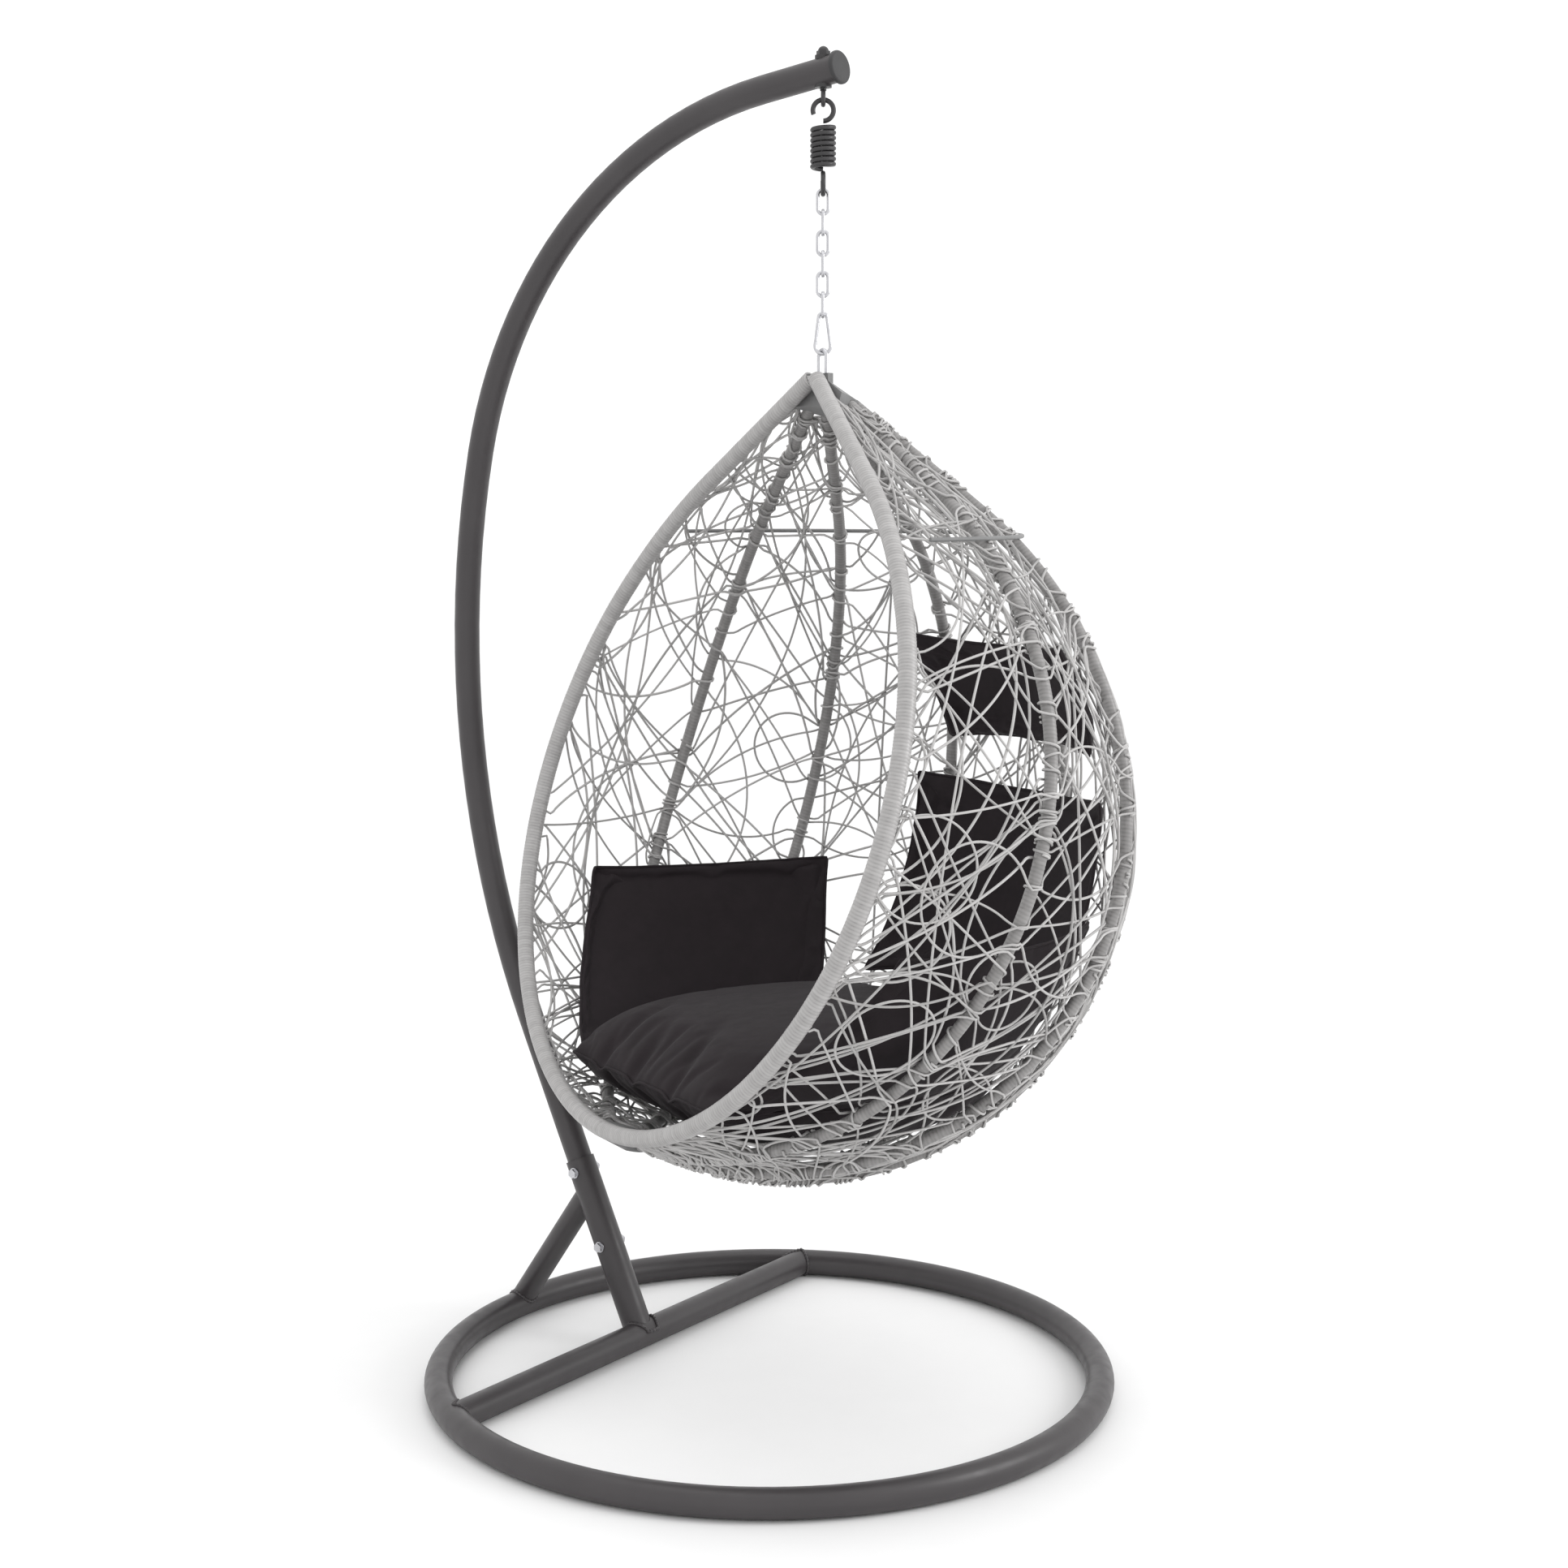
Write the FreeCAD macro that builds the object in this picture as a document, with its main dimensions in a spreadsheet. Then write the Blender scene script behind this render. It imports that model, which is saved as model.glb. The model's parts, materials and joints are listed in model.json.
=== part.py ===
import FreeCAD, Part
import math
import os

import Sketcher

# Hanging basket chair on a cantilever stand, in millimetres and degrees.
# Origin: centre of the base ring on the floor. +Z up, -Y towards the hanging side.

V = FreeCAD.Vector
doc = FreeCAD.newDocument("HangingChair")

# ---------------------------------------------------------------- driving sizes

SIZES = {
    # stand
    "ringRadius": 500.0,
    "ringTube": 42.4,
    "ringWall": 2.0,
    "crossbarBack": 247.0,
    "crossbarHalf": 450.0,
    "ventHole": 8.0,
    "poleTube": 40.0,
    "poleWall": 1.8,
    "poleFootBack": 245.0,
    "poleLean": 24.6,
    "poleStraight": 550.0,
    "poleStart": 70.0,
    "poleBend1": 1414.0,
    "poleTurn1": 37.6,
    "poleBend2": 665.0,
    "poleTurn2": 69.0,
    "poleTip": 132.0,
    "socketTube": 46.0,
    "socketGap": 0.2,
    "socketTop": 313.0,
    "braceTube": 38.0,
    "braceWall": 1.8,
    "braceTopBack": 353.0,
    "braceTopHeight": 236.0,
    "braceFootBack": 500.0,
    "braceFootHeight": 31.0,
    "boltSize": 8.0,
    "boltHole": 8.6,
    "boltPast": 4.0,
    "drillLong": 120.0,
    "boltHead": 13.0,
    "boltHeadTall": 5.3,
    "nutTall": 6.5,
    "washerWide": 17.0,
    "washerThick": 1.6,
    "bolt1Height": 155.0,
    "bolt2Height": 267.0,
    "capRim": 47.0,
    "capRimLong": 6.0,
    "capPlugLong": 12.0,
    "capRimRound": 3.5,
    # hanging hardware
    "hangForward": 95.0,
    "hangTurn": 35.65,
    "eyeHeight": 1895.0,
    "eyeRadius": 9.5,
    "eyeWire": 6.5,
    "eyeShank": 9.0,
    "eyeHole": 9.6,
    "eyeNutWide": 17.0,
    "eyeNutTall": 10.0,
    "eyeNutHex": 6.0,
    "eyeNutDome": 7.8,
    "eyeNutCrown": 2.0,
    "saddleWide": 24.0,
    "saddleThick": 2.5,
    "saddleDeep": 6.0,
    "saddleLow": 1.6,
    "touchGap": 0.2,
    "springWire": 7.0,
    "springRadius": 15.0,
    "springTurns": 8.0,
    "springHookRadius": 14.5,
    "springHookSweep": 292.0,
    "coilGap": 0.25,
    "coilPitch": 7.18,
    "linkWire": 5.0,
    "linkWide": 20.0,
    "linkLong": 38.8,
    "snapWire": 5.0,
    "snapLong": 62.0,
    "snapTopRadius": 6.0,
    "snapLowRadius": 11.0,
    "snapHinge": 8.0,
    "snapNose": 8.0,
    "snapNoseGap": 0.4,
    "snapTongue": 2.0,
    "snapTongueWide": 4.0,
    "snapTongueLong": 7.0,
    "snapTongueDrop": 4.5,
    "snapTongueRoom": 0.2,
    "snapPin": 1.8,
    "snapPinRoom": 0.05,
    "snapPinInset": 0.1,
    "topEyeWire": 6.0,
    "topEyeRadius": 10.0,
    # basket
    "apexHeight": 1505.0,
    "basketTurn": 156.5,
    "basketTilt": 18.14,
    "basketLong": 1108.0,
    "hoopForward": 14.0,
    "hoopTube": 19.0,
    "hoopWall": 3.0,
    "wrapThick": 3.0,
    "hoopStart": 9.0,
    "hoopAngle": 54.3,
    "hoopLeg": 268.0,
    "hoopBend1": 700.0,
    "hoopBend2": 525.0,
    "hoopBend3": 481.0,
    "ribTube": 18.0,
    "ribWall": 1.0,
    "ribStart": 60.0,
    "ribStep": 22.0,
    "ribBend1": 600.0,
    "ribBend2": 500.0,
    "ribEndOut": 52.0,
    "ribEndPast": 4.0,
    "crownWide": 62.0,
    "crownLong": 40.0,
    "crownLip": 18.0,
    "crownTop": 8.0,
    "crownBoss": 15.0,
    "crownBossTop": 8.0,
    "crownBossDeep": 12.0,
    "crownFront": 1.2,
    "bossFront": 0.8,
    "footFront": -0.5,
    "blockWide": 200.0,
    "socketFit": 0.1,
    "footWide": 49.0,
    "footThick": 24.0,
    "rodWire": 6.0,
    "rodHeight": 1275.0,
    "rodGap": 0.4,
    "rodEndAngle": 84.0,
    "weaveThick": 2.5,
    "weaveEdgeGap": 2.5,
    "weaveTop": 110.0,
    "weaveFoot": 30.0,
    # cushions
    "cushionGap": 4.0,
    "seatLow": 462.0,
    "seatThick": 112.0,
    "seatFront": 285.0,
    "seatFrontHalf": 195.0,
    "seatSide": 282.0,
    "seatSideForward": 60.0,
    "seatRearHalf": 235.0,
    "seatRearForward": -140.0,
    "seatBack": -215.0,
    "seatBackHalf": 90.0,
    "seatCorner": 45.0,
    "seatRound": 34.0,
}

# cushions that lean on the wall: fan angles at their top and foot, heights, thickness
WALL_CUSHIONS = {
    "back_cushion": {"top": (-26.0, 26.0), "foot": (-26.0, 26.0), "heights": (905.0, 555.0), "thick": 62.0},
    "head_cushion": {"top": (-29.0, 29.0), "foot": (-20.0, 20.0), "heights": (1145.0, 965.0), "thick": 52.0},
    "arm_cushion_right": {"top": (-80.0, -39.0), "foot": (-83.0, -46.0), "heights": (740.0, 522.0),
                          "thick": 50.0},
    "arm_cushion_left": {"top": (39.0, 80.0), "foot": (46.0, 83.0), "heights": (740.0, 522.0), "thick": 50.0},
}

# bending schedule of the seven basket ribs, by distance from the middle one:
# angle off the basket's long line, straight leg, first turn, second turn
RIB_BENDS = [
    (67.5, 310.0, 52.0, 48.0),
    (66.5, 300.0, 48.0, 46.0),
    (64.0, 300.0, 36.0, 48.0),
    (60.5, 290.0, 28.0, 38.0),
]
BEND_WORDS = ("Angle", "Leg", "TurnA", "TurnB")

sheet = doc.addObject("Spreadsheet::Sheet", "Sizes")


def fillSheet():
    entries = dict(SIZES)
    for index, row in enumerate(RIB_BENDS):
        for word, value in zip(BEND_WORDS, row):
            entries["rib" + "abcd"[index] + word] = value
    for line, (alias, value) in enumerate(entries.items(), start=1):
        sheet.set("A%d" % line, alias)
        sheet.set("B%d" % line, "%g" % value)
        sheet.setAlias("B%d" % line, alias)
    doc.recompute()


fillSheet()


def size(alias):
    return float(getattr(sheet, alias))


# ---------------------------------------------------------------- shared helpers

nodes = []


def keep(obj, label):
    """Register a finished sub-part under the name of its file."""
    obj.Label = label
    nodes.append(obj)
    return obj


def bind(obj, **expressions):
    for prop, formula in expressions.items():
        obj.setExpression(prop, formula)


def primitive(kind, name, placement=None, **expressions):
    obj = doc.addObject("Part::" + kind, name)
    bind(obj, **expressions)
    if placement is not None:
        obj.Placement = placement
    return obj


def cut(name, base, *tools):
    """Chain of Part::Cut objects, one for each tool."""
    result = base
    for index, tool in enumerate(tools):
        step = doc.addObject("Part::Cut", "%sCut%d" % (name, index))
        step.Base = result
        step.Tool = tool
        result = step
    return result


def fuse(name, *parts):
    joined = doc.addObject("Part::MultiFuse", name)
    joined.Shapes = list(parts)
    return joined


def group(name, *parts):
    pack = doc.addObject("Part::Compound", name)
    pack.Links = list(parts)
    return pack


def frameAt(origin, xAxis, zAxis):
    """Placement whose local Z is zAxis and whose local X lies nearest xAxis."""
    turn = FreeCAD.Rotation(xAxis, zAxis.cross(xAxis), zAxis, "ZXY")
    return FreeCAD.Placement(origin, turn)


def planeOf(body, role):
    return [f for f in body.Origin.OriginFeatures if f.Role == role][0]


def sketchOn(body, role, name, lift=None):
    sketch = body.newObject("Sketcher::SketchObject", name)
    sketch.AttachmentSupport = [(planeOf(body, role), "")]
    sketch.MapMode = "FlatFace"
    if lift:
        sketch.setExpression("AttachmentOffset.Base.z", lift)
    return sketch


def ringProfile(sketch, outer, inner=None):
    """Centred circle, or two for a tube. outer and inner are diameter formulas."""
    for index, formula in enumerate([outer, inner]):
        if formula is None:
            continue
        sketch.addGeometry(Part.Circle(V(0, 0, 0), V(0, 0, 1), 20 - 8 * index))
        sketch.addConstraint(Sketcher.Constraint("Coincident", index, 3, -1, 1))
        row = sketch.addConstraint(Sketcher.Constraint("Diameter", index, 40 - 16 * index))
        sketch.setExpression("Constraints[%d]" % row, formula)


def pipeAlong(body, path, profile):
    pipe = body.newObject("PartDesign::AdditivePipe", body.Name + "Pipe")
    pipe.Profile = profile
    pipe.Spine = path
    body.Tip = pipe
    return pipe


def tangentArcs(leg, bends, end=None):
    """Arc centres and angles of a path that starts up the Y line and turns left.

    bends is a list of (radius, turn). With end given, one more arc closes the
    path onto that point. Returns [(centre, radius, startAngle, endAngle)].
    """
    arcs = []
    point = V(0, leg, 0)
    heading = 0.0
    for radius, turn in bends:
        centre = point - V(math.cos(heading), math.sin(heading), 0) * radius
        after = heading + math.radians(turn)
        arcs.append((centre, radius, heading, after))
        point = centre + V(math.cos(after), math.sin(after), 0) * radius
        heading = after
    if end is not None:
        across = V(-math.cos(heading), -math.sin(heading), 0)
        ahead = V(-math.sin(heading), math.cos(heading), 0)
        gap = end - point
        radius = gap.dot(gap) / (2 * gap.dot(across))
        turn = 2 * math.atan2(gap.dot(across), gap.dot(ahead))
        arcs.append((point + across * radius, radius, heading, heading + turn))
    return arcs


def bentPath(sketch, start, leg, arcs):
    """Line up the vertical axis from start to leg, then tangent arcs. Ends stay free."""
    sketch.addGeometry(Part.LineSegment(V(0, size(start), 0), V(0, size(leg), 0)))
    sketch.addConstraint(Sketcher.Constraint("PointOnObject", 0, 1, -2))
    sketch.addConstraint(Sketcher.Constraint("Vertical", 0))
    for point, alias in ((1, start), (2, leg)):
        row = sketch.addConstraint(Sketcher.Constraint("DistanceY", -1, 1, 0, point, size(alias)))
        sketch.setExpression("Constraints[%d]" % row, "Sizes." + alias)
    for index, (centre, radius, low, high) in enumerate(arcs, start=1):
        circle = Part.Circle(centre, V(0, 0, 1), radius)
        sketch.addGeometry(Part.ArcOfCircle(circle, low, high))
        sketch.addConstraint(Sketcher.Constraint("Tangent", index - 1, 2, index, 1))


def arcRadius(sketch, index, formula, value):
    row = sketch.addConstraint(Sketcher.Constraint("Radius", index, value))
    sketch.setExpression("Constraints[%d]" % row, formula)


def arcTurn(sketch, index, formula, degrees):
    row = sketch.addConstraint(Sketcher.Constraint("Angle", index, math.radians(degrees)))
    sketch.setExpression("Constraints[%d]" % row, formula)


def pointAt(sketch, index, place, formulas, point):
    for kind, formula, value in zip(("DistanceX", "DistanceY"), formulas, (point.x, point.y)):
        row = sketch.addConstraint(Sketcher.Constraint(kind, -1, 1, index, place, value))
        sketch.setExpression("Constraints[%d]" % row, formula)


# ---------------------------------------------------------------- stand

poleDirection = V(0, math.sin(math.radians(size("poleLean"))), math.cos(math.radians(size("poleLean"))))
poleFoot = V(0, size("poleFootBack"), 0)
# local X of the pole points away from its bends, so the pole curls towards -Y
poleOutside = V(0, math.cos(math.radians(size("poleLean"))), -math.sin(math.radians(size("poleLean"))))
poleFrame = frameAt(poleFoot, poleOutside, poleDirection)
ringHeight = size("ringTube") / 2


def poleArcs():
    turns = [(size("poleBend1"), size("poleTurn1")), (size("poleBend2"), size("poleTurn2"))]
    return tangentArcs(size("poleStraight"), turns)


def poleTipFrame():
    """Frame on the pole's axis where the last bend ends, local Z along the last straight."""
    centre, radius, low, high = poleArcs()[-1]
    end = centre + V(math.cos(high), math.sin(high), 0) * radius
    ahead = V(-math.sin(high), math.cos(high), 0)
    place = poleFrame.multVec(V(end.x, 0, end.y))
    along = poleFrame.Rotation.multVec(V(ahead.x, 0, ahead.y))
    return frameAt(place, V(1, 0, 0), along)


def alongX(height, back):
    """Placement of a cylinder that lies along +X, centred on the stand's plane."""
    return FreeCAD.Placement(V(0, back, height), FreeCAD.Rotation(V(0, 1, 0), 90))


def ringTorus(name, tube):
    ring = primitive("Torus", name, Radius1="Sizes.ringRadius", Radius2=tube)
    ring.setExpression("Placement.Base.z", "Sizes.ringTube / 2")
    return ring


def crossbarRod(name, diameter, length):
    rod = primitive("Cylinder", name, alongX(ringHeight, 0), Radius=diameter + " / 2", Height=length)
    rod.setExpression("Placement.Base.x", "-(%s) / 2" % length)
    rod.setExpression("Placement.Base.y", "Sizes.crossbarBack")
    rod.setExpression("Placement.Base.z", "Sizes.ringTube / 2")
    return rod


def socketRod(name, diameter):
    return primitive("Cylinder", name, poleFrame, Radius=diameter + " / 2", Height="Sizes.socketTop")


def boltPlaces():
    places = []
    for alias in ("bolt1Height", "bolt2Height"):
        height = size(alias)
        places.append((height, size("poleFootBack") + height * math.tan(math.radians(size("poleLean")))))
    return places


def sideHoles(name):
    holes = []
    for index, (height, back) in enumerate(boltPlaces()):
        place = alongX(height, back)
        place.Base.x = -size("drillLong") / 2
        hole = primitive("Cylinder", "%s%d" % (name, index), place, Radius="Sizes.boltHole / 2",
                         Height="Sizes.drillLong")
        holes.append(hole)
    return holes


def buildBaseRing():
    outside = ringTorus("RingOutside", "Sizes.ringTube / 2")
    inside = ringTorus("RingInside", "Sizes.ringTube / 2 - Sizes.ringWall")
    # weld vents: the ring's bore opens into the crossbar's
    vents = crossbarRod("RingVents", "Sizes.ventHole", "2 * Sizes.crossbarHalf")
    keep(cut("BaseRing", outside, inside, vents), "base_ring")


def buildCrossbar():
    length = "2 * sqrt(Sizes.ringRadius ^ 2 - Sizes.crossbarBack ^ 2)"
    outside = crossbarRod("CrossbarOutside", "Sizes.ringTube", length)
    inside = crossbarRod("CrossbarInside", "(Sizes.ringTube - 2 * Sizes.ringWall)", length)
    ring = ringTorus("CrossbarCope", "Sizes.ringTube / 2")
    keep(cut("Crossbar", outside, inside, ring), "crossbar")


def buildPostSocket():
    outside = socketRod("SocketOutside", "Sizes.socketTube")
    inside = socketRod("SocketInside", "(Sizes.poleTube + 2 * Sizes.socketGap)")
    bar = crossbarRod("SocketCope", "Sizes.ringTube", "Sizes.crossbarHalf")
    reach = size("socketTop")
    corner = V(-reach / 2, size("poleFootBack") - reach / 2, ringHeight - reach)
    floor = primitive("Box", "SocketFloor", FreeCAD.Placement(corner, FreeCAD.Rotation()),
                      Length="Sizes.socketTop", Width="Sizes.socketTop", Height="Sizes.socketTop")
    keep(cut("Socket", outside, inside, bar, floor, *sideHoles("SocketHole")), "post_socket")


def buildRearBrace():
    top = V(0, size("braceTopBack"), size("braceTopHeight"))
    foot = V(0, size("braceFootBack"), size("braceFootHeight"))
    run = foot - top
    place = frameAt(top, V(1, 0, 0), V(run).normalize())
    outside = primitive("Cylinder", "BraceOutside", place, Radius="Sizes.braceTube / 2")
    inside = primitive("Cylinder", "BraceInside", place, Radius="Sizes.braceTube / 2 - Sizes.braceWall")
    for rod in (outside, inside):
        rod.Height = run.Length
    socket = socketRod("BraceTopCope", "Sizes.socketTube")
    ring = ringTorus("BraceFootCope", "Sizes.ringTube / 2")
    keep(cut("Brace", outside, inside, socket, ring), "rear_brace")


def buildArchPole():
    body = doc.addObject("PartDesign::Body", "ArchPole")
    path = sketchOn(body, "XZ_Plane", "ArchPath")
    arcs = poleArcs()
    bentPath(path, "poleStart", "poleStraight", arcs)
    for index in (1, 2):
        arcRadius(path, index, "Sizes.poleBend%d" % index, size("poleBend%d" % index))
        arcTurn(path, index, "Sizes.poleTurn%d" % index, size("poleTurn%d" % index))
    centre, radius, low, high = arcs[-1]
    start = centre + V(math.cos(high), math.sin(high), 0) * radius
    ahead = V(-math.sin(high), math.cos(high), 0)
    path.addGeometry(Part.LineSegment(start, start + ahead * size("poleTip")))
    path.addConstraint(Sketcher.Constraint("Tangent", 2, 2, 3, 1))
    row = path.addConstraint(Sketcher.Constraint("Distance", 3, size("poleTip")))
    path.setExpression("Constraints[%d]" % row, "Sizes.poleTip")
    profile = sketchOn(body, "XY_Plane", "ArchSection", "Sizes.poleStart")
    ringProfile(profile, "Sizes.poleTube", "Sizes.poleTube - 2 * Sizes.poleWall")
    pipeAlong(body, path, profile)
    body.Placement = poleFrame
    eyeHole = primitive("Cylinder", "ArchEyeHole", Radius="Sizes.eyeHole / 2")
    eyeHole.Placement.Base = V(0, -size("hangForward"), size("eyeHeight"))
    eyeHole.setExpression("Height", "Sizes.drillLong")
    keep(cut("Arch", body, eyeHole, *sideHoles("ArchHole")), "arch_pole")


def buildEndCap():
    body = doc.addObject("PartDesign::Body", "ArchEndCap")
    sketch = sketchOn(body, "XZ_Plane", "CapSection")
    plug = size("poleTube") / 2 - size("poleWall")
    rim = size("capRim") / 2
    corners = [(0, -size("capPlugLong")), (plug, -size("capPlugLong")), (plug, 0), (rim, 0)]
    corners += [(rim, size("capRimLong")), (0, size("capRimLong"))]
    points = [V(x, y, 0) for x, y in corners]
    for index, point in enumerate(points):
        sketch.addGeometry(Part.LineSegment(point, points[(index + 1) % len(points)]))
    count = len(points)
    for index in range(count):
        sketch.addConstraint(Sketcher.Constraint("Coincident", index, 2, (index + 1) % count, 1))
    for index in (0, 2, 4):
        sketch.addConstraint(Sketcher.Constraint("Horizontal", index))
    for index in (1, 3):
        sketch.addConstraint(Sketcher.Constraint("Vertical", index))
    sketch.addConstraint(Sketcher.Constraint("PointOnObject", 5, 1, -2))
    sketch.addConstraint(Sketcher.Constraint("PointOnObject", 5, 2, -2))
    plugFormula = "Sizes.poleTube / 2 - Sizes.poleWall"
    pointAt(sketch, 1, 1, (plugFormula, "-Sizes.capPlugLong"), points[1])
    row = sketch.addConstraint(Sketcher.Constraint("DistanceY", -1, 1, 2, 1, 0.0))
    pointAt(sketch, 4, 1, ("Sizes.capRim / 2", "Sizes.capRimLong"), points[4])
    turned = body.newObject("PartDesign::Revolution", "CapTurned")
    turned.Profile = sketch
    turned.ReferenceAxis = (sketch, ["V_Axis"])
    turned.Angle = 360
    body.Tip = turned
    doc.recompute()
    rimEdges = []
    for number, edge in enumerate(turned.Shape.Edges, start=1):
        atTop = abs(edge.BoundBox.ZMin - size("capRimLong")) < 0.01
        if atTop and edge.BoundBox.ZLength < 0.01 and edge.BoundBox.XLength > size("capRim") - 1:
            rimEdges.append("Edge%d" % number)
    round_ = body.newObject("PartDesign::Fillet", "CapRound")
    round_.Base = (turned, rimEdges)
    round_.setExpression("Radius", "Sizes.capRimRound")
    body.Tip = round_
    tip = poleTipFrame()
    body.Placement = FreeCAD.Placement(tip.multVec(V(0, 0, size("poleTip"))), tip.Rotation)
    keep(body, "arch_end_cap")


def sideFastener(index, height, back):
    """Hex bolt, nut and two washers along X through socket and pole at one height."""
    half = size("socketTube") / 2
    thick = size("washerThick")
    left = FreeCAD.Placement(V(-half - thick - size("boltHeadTall"), back, height),
                             FreeCAD.Rotation(V(0, 1, 0), 90))
    head = primitive("Prism", "BoltHead%d" % index, left, Circumradius="Sizes.boltHead / 2 / cos(30)",
                     Height="Sizes.boltHeadTall")
    shank = primitive("Cylinder", "BoltShank%d" % index, left, Radius="Sizes.boltSize / 2")
    shank.Height = size("boltHeadTall") + 2 * half + 2 * thick + size("nutTall") + size("boltPast")
    bolt = fuse("Bolt%d" % index, head, shank)
    right = FreeCAD.Placement(V(half + thick, back, height), FreeCAD.Rotation(V(0, 1, 0), 90))
    nutBlank = primitive("Prism", "NutBlank%d" % index, right, Circumradius="Sizes.boltHead / 2 / cos(30)",
                         Height="Sizes.nutTall")
    nutBore = primitive("Cylinder", "NutBore%d" % index, right, Radius="Sizes.boltSize / 2",
                        Height="Sizes.nutTall")
    nut = cut("Nut%d" % index, nutBlank, nutBore)
    washers = []
    for side, x in (("L", -half - thick), ("R", half)):
        place = FreeCAD.Placement(V(x, back, height), FreeCAD.Rotation(V(0, 1, 0), 90))
        name = "Washer%s%d" % (side, index)
        disc = primitive("Cylinder", name, place, Radius="Sizes.washerWide / 2", Height="Sizes.washerThick")
        bore = primitive("Cylinder", name + "Bore", place, Radius="Sizes.boltHole / 2",
                         Height="Sizes.washerThick")
        washers.append(cut(name, disc, bore))
    return bolt, nut, washers


def buildSideFasteners():
    bolts, nuts, washers = [], [], []
    for index, (height, back) in enumerate(boltPlaces()):
        bolt, nut, pair = sideFastener(index, height, back)
        bolts.append(bolt)
        nuts.append(nut)
        washers += pair
    keep(group("ArchBolts", *bolts), "arch_bolts")
    keep(group("ArchNuts", *nuts), "arch_nuts")
    keep(group("ArchWashers", *washers), "arch_washers")


# ---------------------------------------------------------------- hanging hardware

hangX = V(math.cos(math.radians(size("hangTurn"))), math.sin(math.radians(size("hangTurn"))), 0)
hangY = V(0, 0, 1).cross(hangX)
# wires in plane "across" lie along hangX, wires in plane "facing" along hangY


def hangPlace(height, along):
    """Upright frame on the hang line, local X along the given level direction."""
    return frameAt(V(0, -size("hangForward"), height), along, V(0, 0, 1))


def poleHeightAtHang():
    tip = poleTipFrame()
    along = tip.Rotation.multVec(V(0, 0, 1))
    reach = (-size("hangForward") - tip.Base.y) / along.y
    return tip.Base.z + along.z * reach


def poleSurface():
    """Solid rod the size of the pole's outside, about its last straight."""
    tip = poleTipFrame()
    return primitive("Cylinder", "PoleSurface", tip, Radius="Sizes.poleTube / 2", Height="Sizes.poleTip")


def buildEyeBolt():
    place = hangPlace(size("eyeHeight"), hangX)
    upright = FreeCAD.Placement(place.Base, place.Rotation.multiply(FreeCAD.Rotation(V(1, 0, 0), 90)))
    eye = primitive("Torus", "EyeRing", upright, Radius1="Sizes.eyeRadius", Radius2="Sizes.eyeWire / 2")
    shankStart = V(place.Base.x, place.Base.y, size("eyeHeight") + size("eyeRadius"))
    shank = primitive("Cylinder", "EyeShank", FreeCAD.Placement(shankStart, FreeCAD.Rotation()),
                      Radius="Sizes.eyeShank / 2")
    nutTop = poleHeightAtHang() + size("poleTube") / 2 + size("saddleThick") + size("eyeNutTall")
    shank.Height = nutTop - shankStart.z - size("eyeNutCrown")
    keep(fuse("EyeBolt", eye, shank), "eye_bolt")


def buildEyeNut():
    base = poleHeightAtHang() + size("poleTube") / 2 + size("saddleThick")
    place = FreeCAD.Placement(V(0, -size("hangForward"), base), FreeCAD.Rotation())
    hexagon = primitive("Prism", "EyeNutHex", place, Circumradius="Sizes.eyeNutWide / 2 / cos(30)")
    hexagon.setExpression("Height", "Sizes.eyeNutHex")
    domePlace = FreeCAD.Placement(place.Base + V(0, 0, size("eyeNutHex") - 1), FreeCAD.Rotation())
    dome = primitive("Sphere", "EyeNutDome", domePlace, Radius="Sizes.eyeNutDome")
    dome.Angle1 = 0
    bore = primitive("Cylinder", "EyeNutBore", place, Radius="Sizes.eyeShank / 2",
                     Height="Sizes.eyeNutTall - Sizes.eyeNutCrown")
    keep(cut("EyeNut", fuse("EyeNutSolid", hexagon, dome), bore), "eye_bolt_nut")


def buildEyeWashers():
    """Two saddle washers, hollowed to sit on the sloping pole."""
    saddles = []
    middle = poleHeightAtHang()
    reach = size("poleTube") / 2
    topLow = middle + reach + size("saddleThick") - size("saddleDeep")
    for name, low in (("Top", topLow), ("Low", middle - reach - size("saddleLow"))):
        place = FreeCAD.Placement(V(0, -size("hangForward"), low), FreeCAD.Rotation())
        disc = primitive("Cylinder", "Saddle" + name, place, Radius="Sizes.saddleWide / 2",
                         Height="Sizes.saddleDeep")
        bore = primitive("Cylinder", "SaddleBore" + name, place, Radius="Sizes.eyeHole / 2",
                         Height="Sizes.saddleDeep")
        saddles.append(cut("Saddle" + name, disc, bore, poleSurface()))
    keep(group("EyeWashers", *saddles), "eye_bolt_washers")


def wireSweep(name, place, edges, wire, radiusFormula):
    """Part::Sweep of a circle along a flat wire drawn in the local XZ plane."""
    path = doc.addObject("Part::Feature", name + "Path")
    path.Shape = Part.Wire(edges)
    path.Placement = place
    start = path.Shape.Edges[0]
    point = start.valueAt(start.FirstParameter)
    ahead = start.tangentAt(start.FirstParameter)
    side = V(0, 1, 0) if abs(ahead.y) < 0.9 else V(1, 0, 0)
    circle = doc.addObject("Part::Circle", name + "Section")
    circle.setExpression("Radius", radiusFormula)
    circle.Placement = frameAt(point, side, ahead)
    sweep = doc.addObject("Part::Sweep", name)
    sweep.Sections = [circle]
    sweep.Spine = (path, ["Edge%d" % (n + 1) for n in range(len(edges))])
    sweep.Solid = True
    sweep.Frenet = False
    return sweep


def arcXZ(centreX, centreZ, radius, low, high):
    """Arc in the local XZ plane, angles in degrees from +X towards +Z."""
    points = []
    for share in (0.0, 0.5, 1.0):
        angle = math.radians(low + (high - low) * share)
        points.append(V(centreX + radius * math.cos(angle), 0, centreZ + radius * math.sin(angle)))
    return Part.Arc(*points).toShape()


def lineXZ(x0, z0, x1, z1):
    return Part.makeLine(V(x0, 0, z0), V(x1, 0, z1))


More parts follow.
